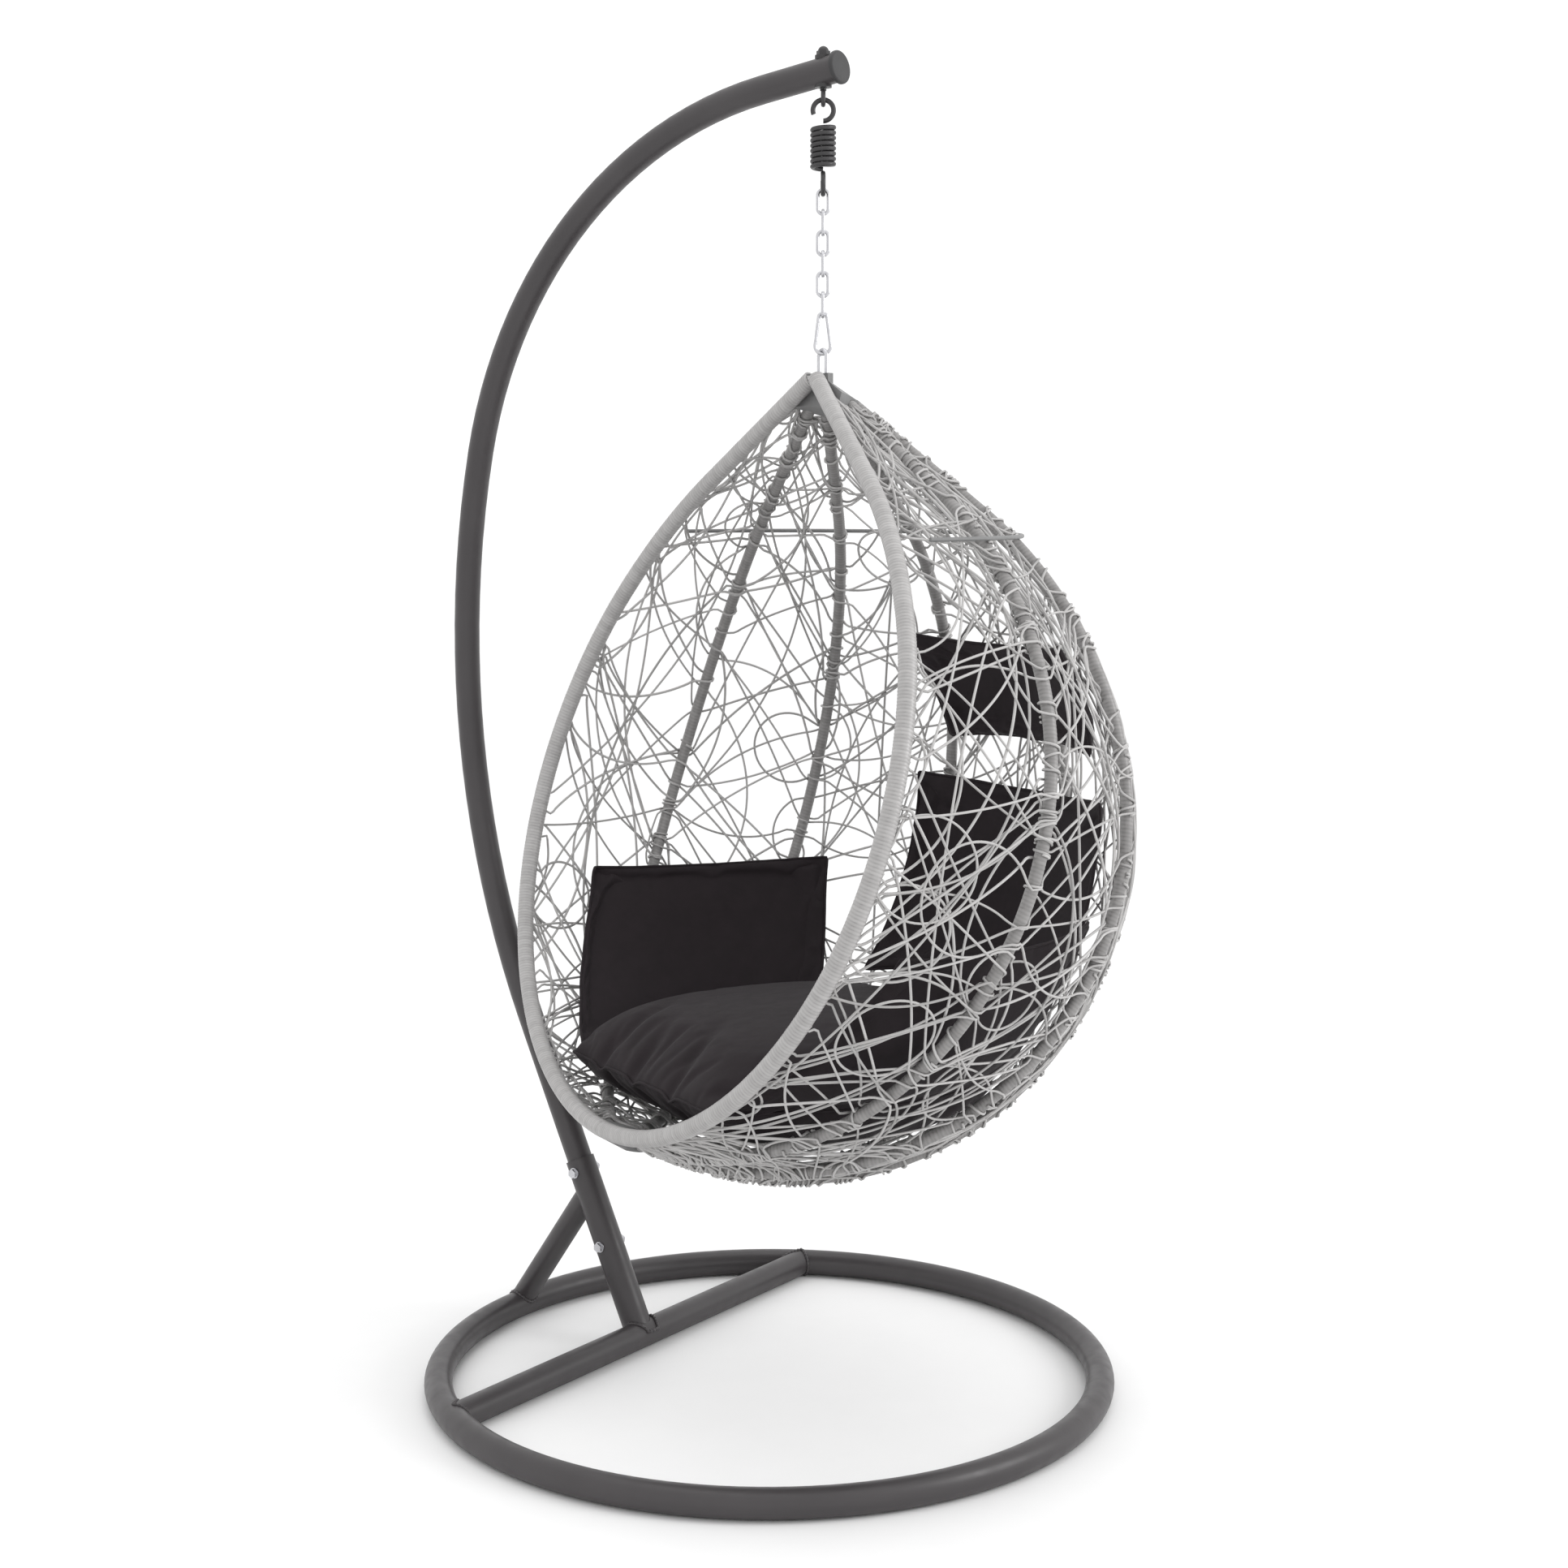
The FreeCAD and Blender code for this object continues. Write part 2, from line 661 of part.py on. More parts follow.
hookHeight = size("eyeHeight") - size("eyeRadius") + size("eyeWire") / 2 + size("springWire") / 2
hookHeight += size("touchGap") - size("springHookRadius")
coilTop = hookHeight - size("springHookRadius") - size("springWire") / 2 - size("coilGap")
coilLow = coilTop - size("springWire") - size("springTurns") * size("coilPitch")
lowHookHeight = coilLow - size("coilGap") - size("springWire") / 2 - size("springHookRadius")


def buildSpring():
    radius = size("springHookRadius")
    sweepAngle = size("springHookSweep")
    upper = [arcXZ(0, 0, radius, -90, -90 + sweepAngle)]
    keep(wireSweep("SpringUpperHook", hangPlace(hookHeight, hangY * -1), upper, "springWire",
                   "Sizes.springWire / 2"), "spring_upper_hook")
    lower = [arcXZ(0, 0, radius, 90, 90 + sweepAngle)]
    keep(wireSweep("SpringLowerHook", hangPlace(lowHookHeight, hangX), lower, "springWire",
                   "Sizes.springWire / 2"), "spring_lower_hook")
    coil = doc.addObject("Part::Helix", "CoilPath")
    bind(coil, Pitch="Sizes.coilPitch", Radius="Sizes.springRadius",
         Height="Sizes.coilPitch * Sizes.springTurns")
    circle = doc.addObject("Part::Circle", "CoilSection")
    circle.setExpression("Radius", "Sizes.springWire / 2")
    circle.Placement = FreeCAD.Placement(V(size("springRadius"), 0, 0), FreeCAD.Rotation(V(1, 0, 0), 90))
    wound = doc.addObject("Part::Sweep", "SpringCoil")
    wound.Sections = [circle]
    doc.recompute()
    wound.Spine = (coil, ["Edge%d" % (n + 1) for n in range(len(coil.Shape.Edges))])
    wound.Solid = True
    wound.Frenet = True
    wound.Placement = FreeCAD.Placement(V(0, -size("hangForward"), coilLow + size("springWire") / 2),
                                        FreeCAD.Rotation(V(0, 0, 1), size("hangTurn")))
    keep(wound, "spring_coil")


linkPitch = size("linkLong") - 2 * size("linkWire") - size("touchGap")
firstLinkTop = lowHookHeight - size("springHookRadius") + size("springWire") / 2 + size("linkWire") / 2
firstLinkTop += size("touchGap")
LINKS = 6


def buildLinks():
    radius = (size("linkWide") - size("linkWire")) / 2
    straight = size("linkLong") - size("linkWide")
    for number in range(LINKS):
        top = firstLinkTop - number * linkPitch
        along = hangX if number % 2 else hangY
        centre = top - radius - straight / 2
        edges = [
            lineXZ(radius, -straight / 2, radius, straight / 2),
            arcXZ(0, straight / 2, radius, 0, 180),
            lineXZ(-radius, straight / 2, -radius, -straight / 2),
            arcXZ(0, -straight / 2, radius, 180, 360),
        ]
        name = "Link%d" % (number + 1)
        link = wireSweep(name, hangPlace(centre, along), edges, "linkWire", "Sizes.linkWire / 2")
        keep(link, "chain_link_%d" % (number + 1))


snapTop = firstLinkTop - (LINKS - 1) * linkPitch - (size("linkLong") - size("linkWire"))
snapTop += size("linkWire") / 2 + size("snapWire") / 2 + size("touchGap")
snapLow = snapTop - (size("snapLong") - size("snapWire"))


def snapSide():
    """Tangent points of the snap hook's straight sides: (top x, z), (low x, z)."""
    topCentre = snapTop - size("snapTopRadius")
    lowCentre = snapLow + size("snapLowRadius")
    slope = math.asin((size("snapLowRadius") - size("snapTopRadius")) / (topCentre - lowCentre))
    ends = []
    for centre, radius in ((topCentre, size("snapTopRadius")), (lowCentre, size("snapLowRadius"))):
        ends.append((radius * math.cos(slope), centre + radius * math.sin(slope)))
    return ends, topCentre, lowCentre, math.degrees(slope)


def snapGateLine():
    """Centre of the gate's hinge, the way up the gate and the foot of the fixed nose above it."""
    ends, topCentre, lowCentre, slope = snapSide()
    (topX, topZ), (lowX, lowZ) = ends
    upwards = V(lowX - topX, 0, topZ - lowZ).normalize()
    hinge = V(-lowX, 0, lowZ) + upwards * size("snapHinge")
    nose = V(-topX, 0, topZ) - upwards * size("snapNose")
    return hinge, upwards, nose


def hingeBox(name, frame, wide, deep, tall, low):
    """Box centred on the gate's hinge line, from low up to low + tall."""
    box = primitive("Box", name)
    box.Length = wide
    box.Width = deep
    box.Height = tall
    box.Placement = frame.multiply(FreeCAD.Placement(V(-wide / 2, -deep / 2, low), FreeCAD.Rotation()))
    return box


def hingePin(name, frame, room):
    """Rod along the gate's hinge line, room wider all round than the pin."""
    half = size("snapWire") / 2 - size("snapPinInset")
    start = FreeCAD.Placement(V(0, half, 0), FreeCAD.Rotation(V(1, 0, 0), 90))
    return primitive("Cylinder", name, frame.multiply(start), Radius="Sizes.snapPin / 2 + %s" % room,
                     Height="Sizes.snapWire - 2 * Sizes.snapPinInset")


def buildSnapHook():
    """Pear-shaped snap hook: a bent wire body, a gate on the -X side and its pin."""
    ends, topCentre, lowCentre, slope = snapSide()
    (topX, topZ), (lowX, lowZ) = ends
    hinge, upwards, nose = snapGateLine()
    place = hangPlace(0, hangY * -1)
    wireEnd = hinge - upwards * (size("snapWire") / 2)
    edges = [
        Part.makeLine(nose, V(-topX, 0, topZ)),
        arcXZ(0, topCentre, size("snapTopRadius"), 180 - slope, slope),
        lineXZ(topX, topZ, lowX, lowZ),
        arcXZ(0, lowCentre, size("snapLowRadius"), slope, -180 - slope),
        Part.makeLine(V(-lowX, 0, lowZ), wireEnd),
    ]
    wire = wireSweep("SnapWire", place, edges, "snapWire", "Sizes.snapWire / 2")
    frame = place.multiply(frameAt(hinge, V(upwards.z, 0, -upwards.x), upwards))
    tongue = hingeBox("SnapTongue", frame, size("snapTongueWide"), size("snapTongue"),
                      size("snapTongueLong"), -size("snapTongueDrop"))
    solid = fuse("SnapSolid", wire, tongue)
    keep(cut("SnapHook", solid, hingePin("SnapPinHole", frame, "0")), "snap_hook")
    keep(hingePin("GatePin", frame, "0"), "gate_pin")
    below = size("snapTongueDrop") / 2
    start = frame.multiply(FreeCAD.Placement(V(0, 0, -below + size("snapTongueRoom")), FreeCAD.Rotation()))
    rod = primitive("Cylinder", "GateRod", start, Radius="Sizes.snapWire / 2")
    rod.Height = (nose - hinge).Length - size("snapNoseGap") + below - size("snapTongueRoom")
    slotTall = size("snapTongueLong") - size("snapTongueDrop") + below + 2 * size("snapTongueRoom") + 1
    slot = hingeBox("GateSlot", frame, 2 * size("snapWire"), size("snapTongue") + 2 * size("snapTongueRoom"),
                    slotTall, -below - size("snapTongueRoom"))
    keep(cut("SnapGate", rod, slot, hingePin("GateBore", frame, "Sizes.snapPinRoom")), "snap_gate")


# ---------------------------------------------------------------- basket

# level directions of the basket: forward out of its opening, and sideways
forward = V(math.cos(math.radians(size("basketTurn"))), math.sin(math.radians(size("basketTurn"))), 0)
sideways = forward.cross(V(0, 0, 1)) * -1
apex = V(0, -size("hangForward"), size("apexHeight"))
tilt = math.radians(size("basketTilt"))
# the long line runs from the apex down to the foot of the hoop; the ribs fan about it
longLine = forward * math.sin(tilt) - V(0, 0, 1) * math.cos(tilt)
backward = forward * -math.cos(tilt) - V(0, 0, 1) * math.sin(tilt)


def fanOut(angle):
    """Direction square to the long line, 0 degrees at the back and 90 at the side."""
    turn = math.radians(angle)
    return backward * math.cos(turn) + sideways * math.sin(turn)


def fanPoint(along, out, angle):
    return apex + longLine * along + fanOut(angle) * out


def fanFrame(angle, lean, shift=0.0):
    """Frame of a tube that leaves the apex at lean off the long line, in one fan plane."""
    out = fanOut(angle)
    leanTurn = math.radians(lean)
    travel = longLine * math.cos(leanTurn) + out * math.sin(leanTurn)
    outside = out * math.cos(leanTurn) - longLine * math.sin(leanTurn)
    return frameAt(apex - backward * shift, outside, travel)


RIB_ANGLES = [step * size("ribStep") for step in range(-3, 4)]


def ribPath(sketch, letter):
    lean = math.radians(size("rib%sAngle" % letter))
    along = size("basketLong") + size("ribEndPast")
    out = size("ribEndOut")
    end = V(out * math.cos(lean) - along * math.sin(lean), along * math.cos(lean) + out * math.sin(lean), 0)
    bends = [(size("ribBend1"), size("rib%sTurnA" % letter)), (size("ribBend2"), size("rib%sTurnB" % letter))]
    leg = "rib%sLeg" % letter
    bentPath(sketch, "ribStart", leg, tangentArcs(size(leg), bends, end))
    for index, word in ((1, "TurnA"), (2, "TurnB")):
        alias = "rib%s%s" % (letter, word)
        arcRadius(sketch, index, "Sizes.ribBend%d" % index, size("ribBend%d" % index))
        arcTurn(sketch, index, "Sizes." + alias, size(alias))
    angle = "Sizes.rib%sAngle" % letter
    past = "(Sizes.basketLong + Sizes.ribEndPast)"
    formulas = ("Sizes.ribEndOut * cos(%s) - %s * sin(%s)" % (angle, past, angle),
                "%s * cos(%s) + Sizes.ribEndOut * sin(%s)" % (past, angle, angle))
    pointAt(sketch, 3, 2, formulas, end)


def buildRibs():
    curves = {}
    for number, angle in enumerate(RIB_ANGLES, start=1):
        letter = "abcd"[abs(number - 4)]
        body = doc.addObject("PartDesign::Body", "Rib%d" % number)
        path = sketchOn(body, "XZ_Plane", "RibPath%d" % number)
        ribPath(path, letter)
        profile = sketchOn(body, "XY_Plane", "RibSection%d" % number, "Sizes.ribStart")
        ringProfile(profile, "Sizes.ribTube", "Sizes.ribTube - 2 * Sizes.ribWall")
        pipeAlong(body, path, profile)
        body.Placement = fanFrame(angle, size("rib%sAngle" % letter))
        keep(body, "rib_%d" % number)
        curves[angle] = (path, body)
    return curves


def hoopPath(sketch):
    """Half of the hoop: straight leg, three tangent arcs, the last centred on the long line."""
    lean = math.radians(size("hoopAngle"))
    axis = V(-math.sin(lean), math.cos(lean), 0)
    first = V(-size("hoopBend1"), size("hoopLeg"), 0)
    third = axis * (size("basketLong") - size("hoopBend3"))
    # the middle arc touches both neighbours from inside
    near = size("hoopBend1") - size("hoopBend2")
    far = size("hoopBend2") - size("hoopBend3")
    gap = third - first
    share = (near ** 2 - far ** 2 + gap.Length ** 2) / (2 * gap.Length)
    rise = math.sqrt(near ** 2 - share ** 2)
    ahead = V(gap).normalize()
    second = first + ahead * share + V(ahead.y, -ahead.x, 0) * rise
    toSecond = second - first
    toThird = third - second
    turn1 = math.atan2(toSecond.y, toSecond.x)
    turn2 = math.atan2(toThird.y, toThird.x)
    turn3 = math.atan2(axis.y, axis.x)
    arcs = [
        (first, size("hoopBend1"), 0.0, turn1),
        (second, size("hoopBend2"), turn1, turn2),
        (third, size("hoopBend3"), turn2, turn3),
    ]
    bentPath(sketch, "hoopStart", "hoopLeg", arcs)
    for index in (1, 2, 3):
        arcRadius(sketch, index, "Sizes.hoopBend%d" % index, size("hoopBend%d" % index))
    long_ = "Sizes.basketLong"
    centre = "(Sizes.basketLong - Sizes.hoopBend3)"
    angle = "Sizes.hoopAngle"
    pointAt(sketch, 3, 3, ("-%s * sin(%s)" % (centre, angle), "%s * cos(%s)" % (centre, angle)), third)
    end = axis * size("basketLong")
    row = sketch.addConstraint(Sketcher.Constraint("DistanceX", -1, 1, 3, 2, end.x))
    sketch.setExpression("Constraints[%d]" % row, "-%s * sin(%s)" % (long_, angle))


def buildHoop():
    curves = {}
    shells = (("hoop", "Sizes.hoopTube", "Sizes.hoopTube - 2 * Sizes.hoopWall"),
              ("hoop_wrap", "Sizes.hoopTube + 2 * Sizes.wrapThick", "Sizes.hoopTube"))
    for side, angle in (("right", -90.0), ("left", 90.0)):
        for label, outer, inner in shells:
            body = doc.addObject("PartDesign::Body", label.replace("_", "") + side)
            path = sketchOn(body, "XZ_Plane", body.Name + "Path")
            hoopPath(path)
            profile = sketchOn(body, "XY_Plane", body.Name + "Section", "Sizes.hoopStart")
            ringProfile(profile, outer, inner)
            pipeAlong(body, path, profile)
            body.Placement = fanFrame(angle, size("hoopAngle"), size("hoopForward"))
            keep(body, "%s_%s" % (label, side))
            curves[angle] = (path, body)
    return curves


def frontBlock(name, frame, reach):
    """Big box in front of a plane; its near face is reach along the frame's local Z."""
    block = primitive("Box", name, Length="Sizes.blockWide", Width="Sizes.blockWide", Height="Sizes.blockWide")
    corner = V(-size("blockWide") / 2, -size("blockWide") / 2, reach)
    block.Placement = frame.multiply(FreeCAD.Placement(corner, FreeCAD.Rotation()))
    return block


def buildCrown():
    """Crown behind the hoop's peak: half a cone with a socket for each rib, and the eye's boss."""
    body = doc.addObject("PartDesign::Body", "Crown")
    sketch = sketchOn(body, "XZ_Plane", "CrownSection")
    wide, long_, lip = size("crownWide"), size("crownLong"), size("crownLip")
    closedOutline(sketch, [(0, 0), (size("crownTop"), 0), (wide, long_ - lip), (wide, long_), (0, long_)])
    turned = body.newObject("PartDesign::Revolution", "CrownTurned")
    turned.Profile = sketch
    turned.ReferenceAxis = (sketch, ["V_Axis"])
    turned.Angle = 180
    turned.Midplane = True
    body.Tip = turned
    body.Placement = frameAt(apex, backward, longLine)
    sockets = []
    for number, angle in enumerate(RIB_ANGLES, start=1):
        frame = fanFrame(angle, size("rib%sAngle" % "abcd"[abs(number - 4)]))
        depth = V(0, 0, size("ribStart") - size("socketFit"))
        start = frame.multiply(FreeCAD.Placement(depth, FreeCAD.Rotation()))
        sockets.append(primitive("Cylinder", "CrownSocket%d" % number, start, Height="Sizes.ribStart",
                                 Radius="Sizes.ribTube / 2 + Sizes.socketFit"))
    tiltedFront = frontBlock("CrownFront", frameAt(apex, sideways, backward * -1), size("crownFront"))
    cone = cut("CrownCone", body, tiltedFront, *sockets)
    low = FreeCAD.Placement(apex - V(0, 0, size("crownBossDeep")), FreeCAD.Rotation())
    boss = primitive("Cylinder", "CrownBoss", low, Radius="Sizes.crownBoss",
                     Height="Sizes.crownBossDeep + Sizes.crownBossTop")
    uprightFront = frontBlock("BossFront", frameAt(apex, sideways, forward), size("bossFront"))
    keep(fuse("CrownWhole", cone, cut("CrownBossCut", boss, uprightFront)), "crown")


def closedOutline(sketch, corners):
    """Closed polygon with every corner fixed where it is given."""
    points = [V(x, y, 0) for x, y in corners]
    count = len(points)
    for index, point in enumerate(points):
        sketch.addGeometry(Part.LineSegment(point, points[(index + 1) % count]))
    for index in range(count):
        sketch.addConstraint(Sketcher.Constraint("Coincident", index, 2, (index + 1) % count, 1))
        sketch.addConstraint(Sketcher.Constraint("DistanceX", -1, 1, index, 1, points[index].x))
        sketch.addConstraint(Sketcher.Constraint("DistanceY", -1, 1, index, 1, points[index].y))


def buildFootHub():
    """Half-round block behind the foot of the hoop, where the ribs come together."""
    place = frameAt(fanPoint(size("basketLong") + size("ribEndPast") - size("footThick") / 2, 0, 0),
                    backward, longLine)
    disc = primitive("Cylinder", "FootDisc", place, Radius="Sizes.footWide", Height="Sizes.footThick")
    front = frontBlock("FootFront", frameAt(place.Base, sideways, backward * -1), size("footFront"))
    keep(cut("FootHub", disc, front), "foot_hub")


def buildTopEye():
    radius = size("topEyeRadius")
    top = snapLow + size("snapWire") / 2 + size("topEyeWire") / 2 + size("touchGap")
    legEnd = size("apexHeight") + size("crownBossTop")
    edges = [
        lineXZ(radius, legEnd, radius, top - radius),
        arcXZ(0, top - radius, radius, 0, 180),
        lineXZ(-radius, top - radius, -radius, legEnd),
    ]
    place = frameAt(V(0, -size("hangForward"), 0), sideways, V(0, 0, 1))
    keep(wireSweep("TopEye", place, edges, "topEyeWire", "Sizes.topEyeWire / 2"), "top_eye")


def tubePoints(path, body):
    """Closely spaced points down a finished tube's centre line."""
    wire = Part.Wire(Part.__sortEdges__(path.Shape.Edges))
    points = [body.Placement.multVec(p) for p in wire.discretize(Number=TUBE_POINTS)]
    if (points[0] - apex).Length > (points[-1] - apex).Length:
        points.reverse()
    return points


def curvePoints(path, body, count, skipTop, skipFoot):
    """Evenly spaced points down a tube's centre line, as (along, out, angle)."""
    points = tubePoints(path, body)
    lengths = [0.0]
    for before, after in zip(points, points[1:]):
        lengths.append(lengths[-1] + (after - before).Length)
    first = skipTop - (points[0] - apex).Length
    last = lengths[-1] - skipFoot
    chosen = []
    for step in range(count):
        target = first + (last - first) * step / (count - 1)
        index = min(range(len(lengths)), key=lambda i: abs(lengths[i] - target))
        offset = points[index] - apex
        along = offset.dot(longLine)
        back = offset.dot(backward)
        side = offset.dot(sideways)
        chosen.append((along, math.hypot(back, side), math.degrees(math.atan2(side, back))))
    return chosen


def wallPoint(near, far, share):
    """Point of the woven wall between two tubes, share 0 at the first and 1 at the second."""
    along, out, angle = [a + (b - a) * share for a, b in zip(near, far)]
    return fanPoint(along, out, angle)


def skin(grid):
    surface = Part.BSplineSurface()
    surface.interpolate(grid)
    return surface.toShape()


def solidBetween(outer, inner):
    """Closed solid between two point grids of the same size."""
    faces = [skin(outer), skin(inner)]
    for outerEdge, innerEdge in zip(faces[0].Edges, faces[1].Edges):
        faces.append(Part.makeRuledSurface(outerEdge, innerEdge))
    shell = Part.makeShell(faces)
    shell.sewShape()
    solid = Part.makeSolid(shell)
    solid.fix(0.01, 0.01, 0.1)
    if solid.Volume < 0:
        solid.reverse()
    return solid


def offsetGrid(grid, distance):
    """The grid moved out along its own normals; inwards for a negative distance."""
    rows, columns = len(grid), len(grid[0])
    middle = fanPoint(size("basketLong") * 0.5, 0, 0)
    moved = []
    for i in range(rows):
        line = []
        for j in range(columns):
            down = grid[min(i + 1, rows - 1)][j] - grid[max(i - 1, 0)][j]
            over = grid[i][min(j + 1, columns - 1)] - grid[i][max(j - 1, 0)]
            normal = down.cross(over).normalize()
            if normal.dot(grid[i][j] - middle) < 0:
                normal = normal * -1
            line.append(grid[i][j] + normal * distance)
        moved.append(line)
    return moved


def featureOf(name, shape, label):
    feature = doc.addObject("Part::Feature", name)
    feature.Shape = shape
    feature.Placement = FreeCAD.Placement()
    return keep(feature, label)


# points that carry a woven panel, a wall line and a wall cushion
WALL_ROWS = 17
WALL_COLUMNS = 5
LINE_POINTS = 61
TUBE_POINTS = 401
CUSHION_POINTS = 6


def edgeShare(tube, start, end, gap):
    """How far along a row, from start to end, the wall is clear of the tube it starts on."""
    steps = 200
    for step in range(1, steps // 2):
        point = wallPoint(start, end, step / steps)
        if min((point - other).Length for other in tube) >= gap:
            return step / steps
    return 0.5


def buildWeave(curves):
    """Eight woven panels, one in each gap between hoop, ribs and hoop."""
    order = sorted(curves)
    half = size("weaveThick") / 2
    for number, (a, b) in enumerate(zip(order, order[1:]), start=1):
        lines = [curvePoints(*curves[angle], WALL_ROWS, size("weaveTop"), size("weaveFoot"))
                 for angle in (a, b)]
        gaps = []
        for angle in (a, b):
            tube = size("hoopTube") + 2 * size("wrapThick") if abs(angle) == 90 else size("ribTube")
            gaps.append(tube / 2 + size("weaveEdgeGap"))
        grid = []
        tubes = [tubePoints(*curves[angle]) for angle in (a, b)]
        for near, far in zip(*lines):
            low = edgeShare(tubes[0], near, far, gaps[0])
            high = 1 - edgeShare(tubes[1], far, near, gaps[1])
            shares = [low + (high - low) * k / (WALL_COLUMNS - 1) for k in range(WALL_COLUMNS)]
            grid.append([wallPoint(near, far, share) for share in shares])
        solid = solidBetween(offsetGrid(grid, half), offsetGrid(grid, -half))
        featureOf("WeavePanel%d" % number, solid, "weave_panel_%d" % number)


def wallLines(curves, count):
    """Every tube of the basket as points down its length, in order of fan angle."""
    return [curvePoints(*curves[angle], count, size("ribStart"), 0) for angle in sorted(curves)]


def wallAtHeight(lines, angle, height):
    """Point of the wall's centre surface at a fan angle, where it first comes down to height."""
    previous = None
    for row in zip(*lines):
        for near, far in zip(row, row[1:]):
            if near[2] <= angle <= far[2]:
                point = wallPoint(near, far, (angle - near[2]) / (far[2] - near[2]))
                break
        if point.z <= height:
            share = (previous.z - height) / (previous.z - point.z)
            return previous + (point - previous) * share
        previous = point
    return previous


def buildBackRod(lines):
    """Thin rod bent round the outside of the ribs, from one side of the hoop to the other."""
    offset = (size("ribTube") + size("rodWire")) / 2 + size("rodGap")
    points = []
    ends = [size("rodEndAngle") - size("ribStep") / 4, size("rodEndAngle")]
    for angle in [-a for a in reversed(ends)] + RIB_ANGLES + ends:
        point = wallAtHeight(lines, angle, size("rodHeight"))
        below = wallAtHeight(lines, angle, size("rodHeight") - size("ribTube"))
        down = (below - point).normalize()
        out = V(point.x - apex.x, point.y - apex.y, 0).normalize()
        out = (out - down * out.dot(down)).normalize()
        points.append(point + out * offset)
    curve = Part.BSplineCurve()
    curve.interpolate(points)
    path = doc.addObject("Part::Feature", "BackRodPath")
    path.Shape = Part.Wire([curve.toShape()])
    circle = doc.addObject("Part::Circle", "BackRodSection")
    circle.setExpression("Radius", "Sizes.rodWire / 2")
    circle.Placement = frameAt(points[0], V(0, 0, 1), curve.tangent(curve.FirstParameter)[0])
    rod = doc.addObject("Part::Sweep", "BackRod")
    rod.Sections = [circle]
    rod.Spine = (path, ["Edge1"])
    rod.Solid = True
    keep(rod, "back_rod")


def buildSeatCushion():
    body = doc.addObject("PartDesign::Body", "SeatCushion")
    sketch = sketchOn(body, "XY_Plane", "SeatOutline")
    half = [("seatFront", "seatFrontHalf"), ("seatSideForward", "seatSide"),
            ("seatRearForward", "seatRearHalf"), ("seatBack", "seatBackHalf")]
    corners = [(size(x), size(y)) for x, y in half]
    corners += [(x, -y) for x, y in reversed(corners)]
    closedOutline(sketch, corners)
    pad = body.newObject("PartDesign::Pad", "SeatPad")
    pad.Profile = sketch
    pad.setExpression("Length", "Sizes.seatThick")
    body.Tip = pad
    doc.recompute()
    upright = ["Edge%d" % n for n, e in enumerate(pad.Shape.Edges, start=1) if e.BoundBox.ZLength > 1]
    corner = body.newObject("PartDesign::Fillet", "SeatCorners")
    corner.Base = (pad, upright)
    corner.setExpression("Radius", "Sizes.seatCorner")
    body.Tip = corner
    doc.recompute()
    level = ["Edge%d" % n for n, e in enumerate(corner.Shape.Edges, start=1) if e.BoundBox.ZLength < 0.01]
    rounded = body.newObject("PartDesign::Fillet", "SeatRounding")
    rounded.Base = (corner, level)
    rounded.setExpression("Radius", "Sizes.seatRound")
    body.Tip = rounded
    body.Placement = frameAt(V(apex.x, apex.y, size("seatLow")), forward, V(0, 0, 1))
    keep(body, "seat_cushion")


def buildWallCushions(lines):
    rows = columns = CUSHION_POINTS
    inset = size("ribTube") / 2 + size("cushionGap")
    for label, spec in WALL_CUSHIONS.items():
        grid = []
        for i in range(rows):
            down = i / (rows - 1)
            height = spec["heights"][0] + (spec["heights"][1] - spec["heights"][0]) * down
            low = spec["top"][0] + (spec["foot"][0] - spec["top"][0]) * down
            high = spec["top"][1] + (spec["foot"][1] - spec["top"][1]) * down
            angles = [low + (high - low) * j / (columns - 1) for j in range(columns)]
            grid.append([wallAtHeight(lines, angle, height) for angle in angles])
        outer = offsetGrid(grid, -inset)
        inner = offsetGrid(grid, -inset - spec["thick"])
        name = "".join(word.capitalize() for word in label.split("_"))
        featureOf(name, solidBetween(outer, inner), label)


def buildAll():
    buildBaseRing()
    buildCrossbar()
    buildPostSocket()
    buildRearBrace()
    buildArchPole()
    buildEndCap()
    buildSideFasteners()
    buildEyeBolt()
    buildEyeNut()
    buildEyeWashers()
    buildSpring()
    buildLinks()
    buildSnapHook()
    buildCrown()
    buildFootHub()
    buildTopEye()
    curves = buildRibs()
    curves.update(buildHoop())
    doc.recompute()
    buildWeave(curves)
    lines = wallLines(curves, LINE_POINTS)
    buildBackRod(lines)
    buildSeatCushion()
    buildWallCushions(lines)
    doc.recompute()


def check():
    for obj in doc.Objects:
        if "Invalid" in obj.State or "Error" in obj.State:
            raise RuntimeError("%s (%s) failed: %s" % (obj.Name, obj.Label, obj.State))
    for obj in nodes:
        if obj.Shape.isNull() or not obj.Shape.isValid():
            raise RuntimeError("%s has no valid shape, null %s" % (obj.Label, obj.Shape.isNull()))
        if not obj.Shape.Solids:
            raise RuntimeError("%s has no solid" % obj.Label)


def export():
    os.makedirs("parts", exist_ok=True)
    for obj in nodes:
        obj.Shape.exportStep("parts/%s.step" % obj.Label)
        print("%-22s solids %d volume %.1f cm3" % (obj.Label, len(obj.Shape.Solids), obj.Shape.Volume / 1000))


buildAll()
check()
export()
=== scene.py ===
import json
import math
import random

